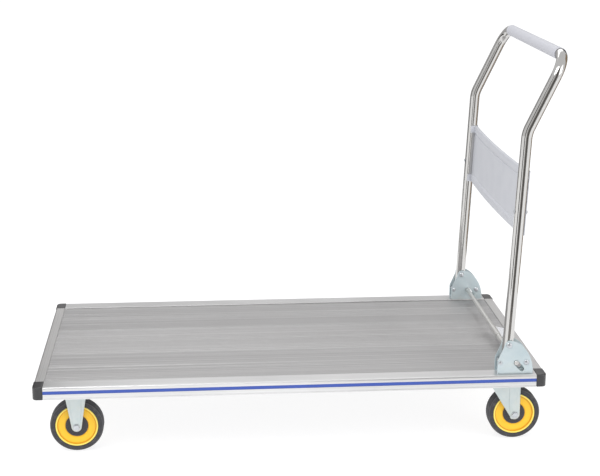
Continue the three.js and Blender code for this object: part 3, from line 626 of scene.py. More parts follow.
def wheel_plastic():
    """Glossy yellow moulding, with a painted highlight on its raised lip and painted shade in the groove
    inside it and beside the hub.
    """
    finish = Finish("wheel_plastic", linear(255, 205, 46), 0.3)
    cloud = finish.noise(26, detail=4)
    finish.stain(cloud, 0.4, 0.75, 0.35, linear(252, 190, 34))
    # Painted highlight: a lighter ring on the raised lip.
    finish.tint(finish.ring(WHEEL_CENTRE_RADIUS - 3.4, WHEEL_CENTRE_RADIUS + 2), linear(255, 238, 120), 0.8)
    # Painted shade: a darker ring in the groove inside the lip.
    finish.tint(finish.ring(43.4, 45.8), linear(226, 150, 22), 0.8)
    # Painted shade: a darker ring where the wheel centre meets the hub.
    finish.tint(finish.ring(HUB_RADIUS, HUB_RADIUS + 2.6), linear(232, 162, 26), 0.5)
    finish.wear(0.6, linear(255, 244, 170), 0.6)
    finish.uneven(cloud, -0.04, 0.1)
    finish.bump(finish.noise(500, detail=2), 0.2, 0.05)
    return finish.done()


def all_finishes():
    white = linear(226, 227, 232)
    return {
        "deck_aluminium": extruded_aluminium("deck_aluminium", linear(184, 183, 183), 0.42, 0.6, "X", 1.1),
        "rail_aluminium": extruded_aluminium("rail_aluminium", linear(226, 226, 226), 0.3, 0.85, "X", 0.4),
        "end_aluminium": extruded_aluminium("end_aluminium", linear(216, 215, 214), 0.32, 0.8, "Y", 0.5),
        "stripe_plastic": moulded("stripe_plastic", linear(58, 86, 172), linear(92, 116, 200),
                                  linear(50, 72, 160), 0.35, 300, 0.05),
        "cap_plastic": moulded("cap_plastic", linear(34, 34, 36), linear(104, 104, 106),
                               linear(24, 24, 26), 0.34, 700, 0.3, Coat_Weight=0.6, Coat_Roughness=0.18),
        "member_steel": member_steel(),
        "handle_chrome": chrome(),
        "grip_plastic": moulded("grip_plastic", linear(196, 197, 204), white, linear(182, 183, 192),
                                0.42, 800, 0.08),
        "panel_plastic": moulded("panel_plastic", linear(196, 198, 204), white, linear(184, 186, 194),
                                 0.45, 800, 0.1),
        "pedal_plastic": moulded("pedal_plastic", linear(222, 223, 226), white, linear(198, 199, 204),
                                 0.45, 700, 0.1),
        "bracket_zinc": zinc("bracket_zinc", linear(204, 216, 220)),
        "caster_zinc": zinc("caster_zinc", linear(206, 214, 213)),
        "bolt_steel": plated_steel("bolt_steel", linear(206, 210, 214)),
        "axle_steel": plated_steel("axle_steel", linear(206, 210, 214)),
        "lock_steel": plated_steel("lock_steel", linear(222, 221, 218), 0.36),
        "tyre_rubber": rubber(),
        "wheel_plastic": wheel_plastic(),
        "hub_plastic": moulded("hub_plastic", linear(64, 62, 66), linear(112, 110, 114),
                               linear(52, 50, 54), 0.5, 600, 0.1),
    }


FINISHES = all_finishes()


# ---------------------------------------------------------------- deck and frame


def add_softened(name, node, width, slot, steps=2, finish=None):
    piece(name, softened(node, width, steps), "base", slot, [node], finish=finish)


def add_deck():
    for i in range(1, 7):
        add_softened(f"plank_{i}", f"deck_plank_{i}", 0.45, "deck_aluminium", steps=1)
    for side, _ in SIDES:
        add_softened(f"rail_{side}", f"side_rail_{side}", 0.3, "rail_aluminium")
        add_softened(f"stripe_{side}", f"side_stripe_{side}", 0.3, "stripe_plastic")
    for end, _ in ENDS:
        add_softened(f"rail_{end}", f"end_rail_{end}", 0.3, "rail_aluminium", finish="end_aluminium")
        add_softened(f"stripe_{end}", f"end_stripe_{end}", 0.3, "stripe_plastic")
    for i in range(1, 4):
        add_softened(f"member_{i}", f"cross_member_{i}", 0.8, "member_steel")


# ---------------------------------------------------------------- corner caps

CAP_ROUND = 11
CAP_RIM = 2.6
LIP_WIDTH = 8
LIP_THICKNESS = 2.2


def cap_body(low, high):
    """A cap between its box's corners, drawn for the corner at low X and low Y."""
    end_low, end_high = low_high("end_rail_front")
    side_low, side_high = low_high("side_rail_left")
    end_width = end_high.x - end_low.x
    side_width = side_high.y - side_low.y
    top = rounded([(0, 0, CAP_ROUND), (end_width, 0, 0), (end_width, side_width, 0), (0, side_width, 0)])
    notch_x, notch_y = end_width - LIP_WIDTH, side_width - LIP_WIDTH
    body = rounded([(0, 0, CAP_ROUND), (end_width, 0, 0), (end_width, notch_y, 0), (notch_x, notch_y, 0),
                    (notch_x, side_width, 0), (0, side_width, 0)])
    lip = prism(top, [], high - LIP_THICKNESS - CAP_RIM, high, "Z", CAP_RIM, 5)
    trunk = prism(body, [], low, high - LIP_THICKNESS, "Z", CAP_RIM, 5)
    square = prism(top, [], high - LIP_THICKNESS - 6, high - LIP_THICKNESS - 0.5, "Z", 0.1, 1)
    return fused(trunk, drilled(lip, square))


def add_caps():
    for side, side_sign in SIDES:
        for end, end_sign in ENDS:
            node = f"corner_cap_{end}_{side}"
            low, high = low_high(node)
            corner_x = low.x if end_sign < 0 else high.x
            corner_y = low.y if side_sign < 0 else high.y
            body = cap_body(low.z, high.z)
            bmesh.ops.scale(body, vec=(-end_sign, -side_sign, 1), verts=body.verts)
            moved(body, corner_x, corner_y, 0)
            piece(f"cap_{end}_{side}", body, "base", "cap_plastic", [node])


# ---------------------------------------------------------------- handle


def bent_stations(corners, radii):
    """Places and directions along a bent axis: the ends of its straight runs and steps round its bends."""
    stations = [(corners[0], (corners[1] - corners[0]).normalized())]
    for i, radius in enumerate(radii, start=1):
        into = (corners[i] - corners[i - 1]).normalized()
        out = (corners[i + 1] - corners[i]).normalized()
        turn = into.angle(out)
        start = corners[i] - into * radius * math.tan(turn / 2)
        side = (out - into * out.dot(into)).normalized()
        count = math.ceil(turn / math.radians(4))
        for k in range(count + 1):
            part = turn * k / count
            place = start + into * radius * math.sin(part) + side * radius * (1 - math.cos(part))
            stations.append((place, into * math.cos(part) + side * math.sin(part)))
    stations.append((corners[-1], (corners[-1] - corners[-2]).normalized()))
    return stations


def tube(stations, outer, inner, sides=40):
    """A tube along the stations, with rounded rims at its open ends."""
    rim = 0.5
    body = bmesh.new()
    lengths = {0: [], 1: []}
    ways = []
    normal = stations[0][1].orthogonal().normalized()
    before = stations[0][1]
    for place, heading in stations:
        normal = before.rotation_difference(heading) @ normal
        before = heading
        ways.append((place, heading, normal.copy(), heading.cross(normal)))
    for shell, radius in enumerate((outer, inner)):
        inwards = rim if shell == 0 else -rim
        for i, (place, heading, first, second) in enumerate(ways):
            sign = {0: 1, len(ways) - 1: -1}.get(i)
            reach = radius - inwards if sign else radius
            lengths[shell].append(tube_ring(body, place, first, second, reach, sides))
            if sign:
                near = tube_ring(body, place + heading * rim * sign, first, second, radius, sides)
                lengths[shell].insert(len(lengths[shell]) - (0 if sign > 0 else 1), near)
    for rings in lengths.values():
        for first, second in zip(rings, rings[1:]):
            join_rings(body, first, second)
    join_rings(body, lengths[0][0], lengths[1][0])
    join_rings(body, lengths[0][-1], lengths[1][-1])
    return body


def tube_ring(body, place, first, second, radius, sides):
    turns = [2 * math.pi * i / sides for i in range(sides)]
    return [body.verts.new(place + first * radius * math.cos(turn) + second * radius * math.sin(turn))
            for turn in turns]


def handle_top():
    """The crossbar's axis in the handle's own frame."""
    tilt = UPPER_LEAN - HANDLE_LEAN
    return UPPER_LENGTH * math.sin(tilt), LOWER_LENGTH + UPPER_LENGTH * math.cos(tilt)


def add_tube():
    top_x, top_z = handle_top()
    half = [Vector(spot) for spot in ((0, LEG_Y, -LEG_STUB), (0, LEG_Y, LOWER_LENGTH), (top_x, LEG_Y, top_z))]
    mirror = [Vector((corner.x, -corner.y, corner.z)) for corner in half]
    stations = bent_stations(mirror + half[::-1], [BEND_RADIUS, CORNER_RADIUS, CORNER_RADIUS, BEND_RADIUS])
    body = transformed(tube(stations, TUBE_RADIUS, TUBE_RADIUS - TUBE_WALL), HANDLE)
    piece("bent_tube", body, "handle", "handle_chrome", ["handle_tube"])


def add_grip():
    """A thin sleeve from bend to bend with a bead at each end."""
    low, high = low_high("handle_grip")
    reach = high.y
    inner = TUBE_RADIUS + PLAY
    outer = (high.z - low.z) / 2
    bead = 7
    half = [(inner, reach - 0.4), (outer - 0.5, reach), (outer, reach - 0.6), (outer, reach - bead),
            (outer - 0.35, reach - bead - 0.8), (outer - 0.35, reach - bead - 1.6),
            (outer, reach - bead - 2.4)]
    top_x, top_z = handle_top()
    body = transformed(moved(turned(both_ways(half), "Y", 64), top_x, 0, top_z), HANDLE)
    piece("grip_sleeve", body, "handle", "grip_plastic", ["handle_grip"])


# ---------------------------------------------------------------- handle panel


def smooth_step(value, start, end):
    part = min(1.0, max(0.0, (value - start) / (end - start)))
    return part * part * (3 - 2 * part)


def panel_half_thickness(height):
    """Half the panel's thickness at a height above its bottom edge: bands, a groove and a raised line."""
    top = PANEL_HEIGHT - PANEL_BAND
    bottom = PANEL_BAND
    band = smooth_step(height, top, top + 1.5) + 1 - smooth_step(height, bottom - 1.5, bottom)
    groove = smooth_step(height, top - 4, top - 3) - smooth_step(height, top - 1, top)
    ridge = smooth_step(height, bottom - 2, bottom - 1) - smooth_step(height, bottom + 2, bottom + 3)
    edge = min(height, PANEL_HEIGHT - height)
    rounding = math.sqrt(max(0.0, 1 - (1 - min(1.0, edge / 2.5)) ** 2))
    half = PANEL_THICKNESS / 2 + PANEL_BAND_EXTRA * band - GROOVE_DEPTH * groove + RIDGE_HEIGHT * ridge
    return half * (0.25 + 0.75 * rounding)


def panel_heights():
    """Heights of the sheet's rows: close together at the edges, the groove and the ridge."""
    top = PANEL_HEIGHT - PANEL_BAND
    fine = [0, 0.3, 0.8, 1.6, 2.5, 4]
    marks = [top + step for step in (-4, -3.5, -3, -1, -0.5, 0, 0.5, 1, 1.5)]
    marks += [PANEL_BAND + step for step in (-2, -1.5, -1, 0, 2, 2.5, 3)]
    field = [PANEL_BAND + 3 + (top - PANEL_BAND - 7) * i / 8 for i in range(1, 8)]
    low = fine + [9]
    return sorted(set(low + marks + field + [PANEL_HEIGHT - value for value in low]))


def panel_sheet():
    """The bowed sheet behind the legs, in the handle's own frame, cut to fit round them."""
    reach = LEG_Y - TUBE_RADIUS + 2 * CLIP_WALL
    hang = LEG_Y + TUBE_RADIUS
    columns = [reach * (2 * i / 48 - 1) for i in range(49)]
    body = bmesh.new()
    faces = []
    for sign in (-1, 1):
        grid = []
        for height in panel_heights():
            row = []
            for y in columns:
                x = PANEL_SET - PANEL_BOW * (1 - (y / reach) ** 2) + sign * panel_half_thickness(height)
                z = PANEL_BOTTOM + height - PANEL_DIP * (1 - (y / hang) ** 2)
                row.append(body.verts.new((x, y, z)))
            grid.append(row)
        for lower, upper in zip(grid, grid[1:]):
            for i in range(len(columns) - 1):
                body.faces.new((lower[i], lower[i + 1], upper[i + 1], upper[i]))
        faces.append(grid)
    rims = [grid[0] + [row[-1] for row in grid[1:-1]] + grid[-1][::-1] + [row[0] for row in grid[-2:0:-1]]
            for grid in faces]
    join_rings(body, rims[0], rims[1])
    radius = TUBE_RADIUS + PLAY + 2 * CLIP_STEP
    bore = [(0, PANEL_BOTTOM - 20), (radius, PANEL_BOTTOM - 20),
            (radius, PANEL_BOTTOM + PANEL_HEIGHT + 20), (0, PANEL_BOTTOM + PANEL_HEIGHT + 20)]
    return drilled(body, *[moved(turned(bore, "Z", 72), 0, sign * LEG_Y, 0) for _, sign in SIDES])


def clip_part(sign, inner_angle, bottom, top, inset=0.0):
    """A clip round the back of one leg, up to an angle round the leg's inner side."""
    inner, outer = TUBE_RADIUS + PLAY + inset, TUBE_RADIUS + PLAY + CLIP_WALL - inset
    rear = CLIP_REAR - inset / TUBE_RADIUS
    start, end = (-rear, inner_angle) if sign < 0 else (-inner_angle, rear)
    step = math.radians(5)
    y = sign * LEG_Y
    outline = arc(0, y, outer, start, end, step) + arc(0, y, inner, end, start, step)
    return prism(outline, [], bottom, top, "Z", 0.6, 3)


def panel_clips():
    """A clip the height of the panel on each leg, set back a little from the two bands that hold the leg."""
    bottom, top = PANEL_BOTTOM, PANEL_BOTTOM + PANEL_HEIGHT
    clips = []
    for _, sign in SIDES:
        clips.append(clip_part(sign, CLIP_INNER, bottom + CLIP_WALL, top - CLIP_WALL, CLIP_STEP))
        clips.append(clip_part(sign, BAND_INNER, bottom, bottom + PANEL_BAND))
        clips.append(clip_part(sign, BAND_INNER, top - PANEL_BAND, top))
    return clips


def pan_head(radius, height):
    """A domed screw head on the plane at 0, along the axis it is turned about."""
    shares = ((0, 1), (0.35, 0.97), (0.7, 0.8), (0.93, 0.45), (1, 0.12), (1, 0))
    return [(radius * across, height * up) for across, up in shares]


def through_screw(reach, shank, radius, height, axis):
    """A screw through two walls, with a domed head beyond each of them."""
    half = [(across, reach + along) for across, along in pan_head(radius, height)] + [(shank, reach)]
    return turned(both_ways(half), axis, 32)


def add_panel():
    body = fused(panel_sheet(), *panel_clips())
    piece("panel_sheet", transformed(body, HANDLE), "handle", "panel_plastic", ["handle_panel"])
    reach = TUBE_RADIUS + PLAY + CLIP_WALL / 2
    for side, sign in SIDES:
        screw = moved(through_screw(reach, 2.2, 4.5, 2.1, "X"), CLIP_WALL / 2, sign * LEG_Y,
                      PANEL_BOTTOM + PANEL_SCREW)
        piece(f"clip_screw_{side}", transformed(screw, HANDLE), "handle", "bolt_steel",
              [f"panel_screw_{side}"])


# ---------------------------------------------------------------- hinge brackets


def bracket_places():
    """Places in the side view of a bracket, from its pivot."""
    stop = middle("stop_pin_left") - PIVOT
    spacer = middle("spacer_bolt_left") - PIVOT
    bar = middle("lock_bar") - PIVOT
    low, high = low_high("hinge_bracket_left")
    axis = Vector(JOINTS["lock_bar_slide"]["axis"])
    end = bar + axis * LOCK_TRAVEL
    spots = {"pivot": Vector((0, 0)), "stop": stop.xz, "spacer": spacer.xz, "bar": bar.xz, "slot_end": end.xz}
    low, high = low - PIVOT, high - PIVOT
    return spots | {"front": low.x, "rear": high.x, "base": low.z, "top": high.z}


def bezier(start, first, second, end, count=14):
    points = []
    for i in range(1, count + 1):
        t = i / count
        u = 1 - t
        points.append(start * u ** 3 + first * 3 * u * u * t + second * 3 * u * t * t + end * t ** 3)
    return points


def bracket_outline(spots):
    front, rear, base, top = (spots[name] for name in ("front", "rear", "base", "top"))
    shoulder = Vector((top / 2, top))
    corners = [(front, spots["stop"].y + 5, 8), (front, base, 2), (rear, base, 2), (rear, base + 6, 0)]
    points = rounded(corners, closed=False)
    points += bezier(points[-1], Vector((rear - 1, -24)), Vector((rear * 0.52, top)), shoulder)
    front_end = Vector((-top - 2.5, -6))
    points += bezier(shoulder, Vector((-top * 0.55, top)), Vector((-top * 0.95, top * 0.55)), front_end, 10)
    return points


def slot_outline(spots, radius):
    way = spots["slot_end"] - spots["bar"]
    heading = math.atan2(way.y, way.x)
    quarter = math.pi / 2
    far = arc(*spots["slot_end"], radius, heading - quarter, heading + quarter)
    return far + arc(*spots["bar"], radius, heading + quarter, heading + 3 * quarter)


def bracket_body(spots):
    outline = bracket_outline(spots)
    holes = [circle(*spots["stop"], PIN_HOLE), circle(*spots["spacer"], PIN_HOLE), circle(0, 0, PIVOT_HOLE),
             slot_outline(spots, LOCK_BAR_RADIUS + 2 * PLAY)]
    walls = [prism(outline, holes, start, start + BRACKET_WALL, "Y", 0.6, 3)
             for start in (-BRACKET_OUTER, BRACKET_INNER)]
    front, rear = spots["front"] + 2.5, spots["rear"] - 4
    foot = shifted(rectangle(rear - front, 2 * BRACKET_INNER + 2, 0.5), (front + rear) / 2, 0)
    floor = prism(foot, [], spots["base"], spots["base"] + BRACKET_WALL, "Z", 0.4, 1)
    bosses = [prism(circle(0, 0, 11, 40), [circle(0, 0, PIVOT_HOLE)], start, start + 1.2, "Y", 0.5, 3)
              for start in (-BRACKET_OUTER - 0.6, BRACKET_OUTER - 0.6)]
    return fused(floor, *walls, *bosses)


def hex_bolt(reach, shank, flats, head_height, washer):
    """A bolt along Y with a washer and a chamfered hexagon beyond each outer wall."""
    rod = turned([(0, -reach - 1), (shank, -reach - 1), (shank, reach + 1), (0, reach + 1)], "Y", 32)
    parts = [rod]
    for sign in (-1, 1):
        start = reach if sign > 0 else -reach - 1.2
        parts.append(prism(circle(0, 0, washer, 40), [], start, start + 1.2, "Y", 0.4, 2))
        start = reach + 1.0 if sign > 0 else -reach - 1.0 - head_height
        parts.append(prism(hexagon(flats), [], start, start + head_height, "Y", 0.7, 3))
    return fused(*parts)


def domed_bolt(reach, shank, radius, height, sleeve=0.0, sleeve_reach=0.0):
    """A bolt along Y, domed beyond each wall, with a spacer sleeve between the walls if one is asked for."""
    half = [(across, reach + along) for across, along in pan_head(radius, height)] + [(shank, reach)]
    if sleeve:
        half += [(shank, sleeve_reach), (sleeve - 0.4, sleeve_reach), (sleeve, sleeve_reach - 0.4)]
    return turned(both_ways(half), "Y", 40)


def add_brackets():
    spots = bracket_places()
    reach = BRACKET_OUTER + PLAY
    for side, sign in SIDES:
        centre = Vector((PIVOT.x, sign * LEG_Y, PIVOT.z))
        body = moved(bracket_body(spots), *centre)
        piece(f"bracket_{side}", body, "base", "bracket_zinc", [f"hinge_bracket_{side}"])
        pins = (("pivot_pin", "pivot_bolt", "pivot", domed_bolt(reach + 0.6, 5, 7, 3.4)),
                ("stop", "stop_pin", "stop", domed_bolt(reach, 4, 5.2, 2.2)),
                ("spacer", "spacer_bolt", "spacer", domed_bolt(reach, 4, 6.6, 3.2, 7, BRACKET_INNER - PLAY)))
        for name, node, spot, bolt in pins:
            moved(bolt, centre.x + spots[spot].x, centre.y, centre.z + spots[spot].y)
            piece(f"{name}_{side}", bolt, "base", "bolt_steel", [f"{node}_{side}"])
        add_floor_screws(side, centre, spots)


def add_floor_screws(side, centre, spots):
    """The screws that hold the bracket's floor to the side rail."""
    floor_top = centre.z + spots["base"] + BRACKET_WALL
    heads = []
    for x in (spots["front"] + 14, spots["rear"] - 16):
        head = turned(pan_head(5.5, 3) + [(0, 0)], "Z", 32)
        heads.append(moved(head, centre.x + x, centre.y, floor_top))
    piece(f"floor_screws_{side}", together(*heads), "base", "bolt_steel")


# ---------------------------------------------------------------- lock bar and pedal


def add_lock():
    low, high = low_high("lock_bar")
    centre = (low + high) / 2
    reach = high.y
    bevel = 1.2
    profile = [(0, reach), (LOCK_BAR_RADIUS - bevel, reach), (LOCK_BAR_RADIUS, reach - bevel)]
    piece("lock_rod", moved(turned(both_ways(profile), "Y", 40), *centre), "lock", "lock_steel", ["lock_bar"])
    plate, collar = pedal_bodies(centre)
    piece("foot_pedal", plate, "lock", "pedal_plastic", ["lock_pedal"])
    piece("pedal_collar", collar, "lock", "lock_steel")


def pedal_bodies(bar):
    """A sloped foot plate with raised treads, and the collar that holds it on the bar."""
    low, high = low_high("lock_pedal")
    width = high.y - low.y
    offset = (low.y + high.y) / 2
    plate = prism(shifted(rectangle(PEDAL_REACH, width, 6), PEDAL_REACH / 2 + 3, 0), [], -2, 2, "Z", 0.9, 3)
    treads = [prism(shifted(rectangle(2.2, width - 16, 1), x, 0), [], 1.5, 2.9, "Z", 0.5, 2)
              for x in (16, 22, 28, 34)]
    sleeve = LOCK_BAR_RADIUS + 1.6
    room = prism(circle(0, 0, sleeve + PLAY / 2, 40), [], -width, width, "Y", 0.1, 1)
    plate = drilled(transformed(fused(plate, *treads), Matrix.Rotation(PEDAL_SLOPE, 4, "Y")), room)
    collar = prism(circle(0, 0, sleeve, 40), [circle(0, 0, LOCK_BAR_RADIUS + PLAY / 2, 40)], -width / 2 + 2,
                   width / 2 - 2, "Y", 0.5, 3)
    return [moved(body, bar.x, offset, bar.z) for body in (plate, collar)]


# ---------------------------------------------------------------- casters

PLATE_BOTTOM = UNDERSIDE - FORK_WALL
RACE_BOTTOM = PLATE_BOTTOM - 7.7
CROWN_TOP = RACE_BOTTOM - 1
CROWN_BOTTOM = CROWN_TOP - FORK_WALL
PLATE_LENGTH = 100
PLATE_WIDTH = 78
RACE_RADIUS = 31
KINGPIN_HOLE = 6.6
RIDGE = 1.8                               # a fork leg's ridge stands out by this much
TRAIL = 25                                # of the swivel casters' axles behind their kingpins
SWIVEL_FOOT = 12.5                        # radius of a swivel leg round its axle
SWIVEL_FRONT = -35                        # front edge of the swivel fork, from its kingpin
BOLT_X = 39                               # a caster plate's bolts from its middle
BOLT_Y = 30


def caster_plate():
    """The top plate with its four bolts, their washers below it."""
    parts = [prism(rectangle(PLATE_LENGTH, PLATE_WIDTH, 8), [], PLATE_BOTTOM, UNDERSIDE, "Z", 0.6, 3)]
    for x in (-BOLT_X, BOLT_X):
        for y in (-BOLT_Y, BOLT_Y):
            parts.append(prism(circle(x, y, 8, 32), [], PLATE_BOTTOM - 1.2, PLATE_BOTTOM + 0.3, "Z", 0.3, 1))
            nut = shifted(hexagon(11.3), x, y)
            parts.append(prism(nut, [], PLATE_BOTTOM - 4.8, PLATE_BOTTOM - 0.9, "Z", 0.6, 2))
    return parts


def leg_pair(outline, ridge):
    """Two fork legs with a broad pressed ridge that stands out of their outer faces."""
    parts = []
    for sign in (-1, 1):
        outer_first = sign < 0
        low = -FORK_OUTER if outer_first else FORK_INNER
        rims = (2.4, 0.4) if outer_first else (0.4, 2.4)
        parts.append(prism(outline, [], low, low + FORK_WALL, "Y", rims[0], 5, rims[1]))
        low = -FORK_OUTER - RIDGE if outer_first else FORK_OUTER - 2
        rims = (RIDGE, 0.1) if outer_first else (0.1, RIDGE)
        parts.append(prism(ridge, [], low, low + RIDGE + 2, "Y", rims[0], 5, rims[1]))
    return parts


def rigid_legs():
    top_half, foot = 27, 12
    top = PLATE_BOTTOM + 1
    lean = math.radians(7)
    outline = [Vector((top_half, top)), Vector((-top_half, top)), Vector((-top_half, PLATE_BOTTOM - 4))]
    outline += arc(0, WHEEL_RADIUS, foot, math.pi + lean, 2 * math.pi - lean)
    outline += [Vector((top_half, PLATE_BOTTOM - 4))]
    half, half_foot = 16, 8.5
    ridge = rounded([(-half, PLATE_BOTTOM + 0.5, 0), (-half_foot, WHEEL_RADIUS, 3),
                     (-half_foot, WHEEL_RADIUS - half_foot, half_foot - 0.5),
                     (half_foot, WHEEL_RADIUS - half_foot, half_foot - 0.5), (half_foot, WHEEL_RADIUS, 3),
                     (half, PLATE_BOTTOM + 0.5, 0)])
    return leg_pair(outline, ridge)


def swivel_legs():
    lean = math.radians(22)
    outline = [Vector((TRAIL + SWIVEL_FOOT, CROWN_TOP)), Vector((SWIVEL_FRONT, CROWN_TOP)),
               Vector((SWIVEL_FRONT, CROWN_BOTTOM - 6))]
    outline += arc(TRAIL, WHEEL_RADIUS, SWIVEL_FOOT, math.pi + lean, 2 * math.pi)
    half = SWIVEL_FOOT - 1.5
    ridge = rounded([(TRAIL - half - 4, CROWN_TOP - 0.5, 0), (TRAIL - half - 4, WHEEL_RADIUS + 24, 6),
                     (TRAIL - half, WHEEL_RADIUS, 3), (TRAIL - half, WHEEL_RADIUS - half, half - 0.5),
                     (TRAIL + half, WHEEL_RADIUS - half, half - 0.5), (TRAIL + half, CROWN_TOP - 0.5, 0)])
    return leg_pair(outline, ridge)


def axle_bore(x):
    return moved(turned([(0, -40), (AXLE_HOLE, -40), (AXLE_HOLE, 40), (0, 40)], "Y", 32), x, 0, WHEEL_RADIUS)


def add_rigid_caster(side):
    axle = joint_place(f"wheel_spin_front_{side}")
    body = drilled(fused(*caster_plate(), *rigid_legs()), axle_bore(0))
    moved(body, axle.x, axle.y, 0)
    piece(f"rigid_caster_{side}", body, "base", "caster_zinc", [f"rigid_fork_{side}"])
    add_wheel(f"front_{side}", axle, "base")


def swivel_race():
    """The upper race ring, the kingpin and its nut's collar, turned about Z."""
    nut_top = CROWN_BOTTOM - 1
    corners = [(0, nut_top - 6, 0), (8, nut_top - 6, 1), (8, nut_top - 1, 0.5), (6, nut_top - 0.5, 0),
               (6, RACE_BOTTOM, 0), (RACE_RADIUS - 4, RACE_BOTTOM, 1), (RACE_RADIUS, RACE_BOTTOM + 1.5, 1.5),
               (RACE_RADIUS, RACE_BOTTOM + 4.5, 1.5), (RACE_RADIUS - 6, PLATE_BOTTOM - 1.5, 2),
               (RACE_RADIUS - 7, PLATE_BOTTOM + 0.5, 0), (0, PLATE_BOTTOM + 0.5, 0)]
    return turned(rounded_profile(corners), "Z", 64)


def swivel_crown():
    """The fork's crown with the lower race on it, and the hole for the kingpin."""
    front, rear = SWIVEL_FRONT, TRAIL + SWIVEL_FOOT
    flat = shifted(rectangle(rear - front, 2 * FORK_INNER + 4, 1), (front + rear) / 2, 0)
    crown = prism(flat, [], CROWN_BOTTOM, CROWN_TOP, "Z", 0.3, 1)
    corners = [(0, CROWN_BOTTOM + 1, 0), (RACE_RADIUS + 1, CROWN_BOTTOM + 1, 0.5),
               (RACE_RADIUS + 1, CROWN_TOP - 0.8, 0.5), (RACE_RADIUS, CROWN_TOP, 0.3), (0, CROWN_TOP, 0)]
    race = turned(rounded_profile(corners), "Z", 64)
    low, high = CROWN_BOTTOM - 3, CROWN_TOP + 3
    hole = turned([(0, low), (KINGPIN_HOLE, low), (KINGPIN_HOLE, high), (0, high)], "Z", 32)
    return crown, race, hole


def add_swivel_caster(side):
    swivel = joint_place(f"swivel_turn_{side}")
    nut = prism(hexagon(17), [], CROWN_BOTTOM - 6.9, CROWN_BOTTOM - 1, "Z", 0.7, 3)
    top = moved(fused(*caster_plate(), swivel_race(), nut), swivel.x, swivel.y, 0)
    piece(f"swivel_top_{side}", top, "base", "caster_zinc", [f"swivel_plate_{side}"])
    crown, race, hole = swivel_crown()
    fork = moved(drilled(fused(crown, race, *swivel_legs()), hole, axle_bore(TRAIL)), swivel.x, swivel.y, 0)
    piece(f"swivel_legs_{side}", fork, f"swivel_{side}", "caster_zinc", [f"swivel_fork_{side}"])
    add_wheel(f"rear_{side}", joint_place(f"wheel_spin_rear_{side}"), f"swivel_{side}")


# ---------------------------------------------------------------- wheels


def wheel_profile(corners):
    """A closed profile from the corners of its half at +Y, from the inner to the outer radius."""
    return both_ways(rounded_profile(corners)[1:-1])


def tyre_profile():
    seat = WHEEL_CENTRE_RADIUS + PLAY
    side = TYRE_HALF
    return wheel_profile([
        (seat, 0, 0), (seat, side - 0.6, 0.5), (seat + 1.5, side - 0.1, 0.4), (55.2, side, 0.6),
        (55.8, side - 0.7, 0.3), (57.2, side - 0.7, 0.3), (57.8, side - 0.1, 0.4),
        (WHEEL_RADIUS - 2.4, side - 0.7, 1.6), (WHEEL_RADIUS - 0.5, side - 4.6, 3), (WHEEL_RADIUS, 0, 0)])


def centre_profile():
    bore, rim, side = HUB_RADIUS + PLAY, WHEEL_CENTRE_RADIUS, TYRE_HALF
    return wheel_profile([
        (bore, 0, 0), (bore, 13.5, 0.4), (bore + 2.5, 13.8, 0.6), (bore + 4, 12.6, 1), (41, 12, 3),
        (44.6, 13.4, 1.2), (46.2, side - 0.6, 0.8), (47, side, 0.5), (rim - 0.6, side, 0.5),
        (rim, side - 0.6, 0.3), (rim, 0, 0)])


def hub_profile():
    return wheel_profile([
        (AXLE_HOLE, 0, 0), (AXLE_HOLE, 20.5, 0.2), (9.2, 20.5, 0.6), (9.8, 15.8, 0.8), (18.6, 15.4, 0.6),
        (19.2, 14.6, 0.3), (20.6, 14.6, 0.3), (21.2, 15.4, 0.5), (HUB_RADIUS - 0.8, 15.2, 0.8),
        (HUB_RADIUS, 14, 0.5), (HUB_RADIUS, 0, 0)])


def add_wheel(name, axle, carrier):
    rings = (("rubber", tyre_profile(), "tyre_rubber", "tyre", 128),
             ("centre", centre_profile(), "wheel_plastic", "wheel_centre", 128),
             ("hub", hub_profile(), "hub_plastic", "wheel_hub", 96))
    for label, profile, slot, node, steps in rings:
        body = turned(profile, "Y", steps)
        piece(f"{label}_{name}", body, f"wheel_{name}", slot, [f"{node}_{name}"], axle)
    bolt = moved(hex_bolt(FORK_OUTER + RIDGE + 0.1, 5, 14, 3.4, 8.6), *axle)
    piece(f"axle_bolt_{name}", bolt, carrier, "axle_steel", [f"axle_{name}"])


# ---------------------------------------------------------------- studio


def floor_material():
    """A seamless pale sweep with the faintest mottle."""
    finish = Finish("studio_floor", linear(150, 150, 151), 0.7, Emission_Color=(1.0, 1.0, 1.0, 1.0),
                    Emission_Strength=0.8)
    finish.stain(finish.noise(0.8, detail=2), 0.3, 0.7, 0.3, linear(146, 146, 148))
    return finish.done()


def add_sheet(name, width, height, material):
    """A flat sheet of the studio, which isn't part of the cart."""
    body = bmesh.new()
    bmesh.ops.create_grid(body, x_segments=2, y_segments=2, size=0.5)
    bmesh.ops.scale(body, vec=(width, height, 1), verts=body.verts)
    mesh = bpy.data.meshes.new(name)
    body.to_mesh(mesh)
    body.free()
    mesh.materials.append(material)
    sheet = bpy.data.objects.new(name, mesh)
    bpy.context.scene.collection.objects.link(sheet)
    return sheet


def add_floor():
    floor = add_sheet("floor", 120, 120, floor_material())
    floor.location.z = -0.0005


def add_card(name, place, facing, size, value):
    """An upright glowing card that only reflections see, as a studio hangs one beside chrome."""
    finish = Finish(name, linear(20, 20, 20), 0.9, Emission_Color=linear(*value), Emission_Strength=1.0)
    finish.stain(finish.noise(3), 0.4, 0.7, 0.3, linear(24, 24, 24))
    card = add_sheet(name, *size, finish.done())
    turn = Vector((*facing, 0)).to_track_quat("Z", "Y").to_matrix().to_4x4()
    x, y, bottom = place
    card.matrix_world = Matrix.Translation((x, y, bottom + size[1] / 2)) @ turn
    card.visible_camera = False
    card.visible_diffuse = False
    card.visible_shadow = False


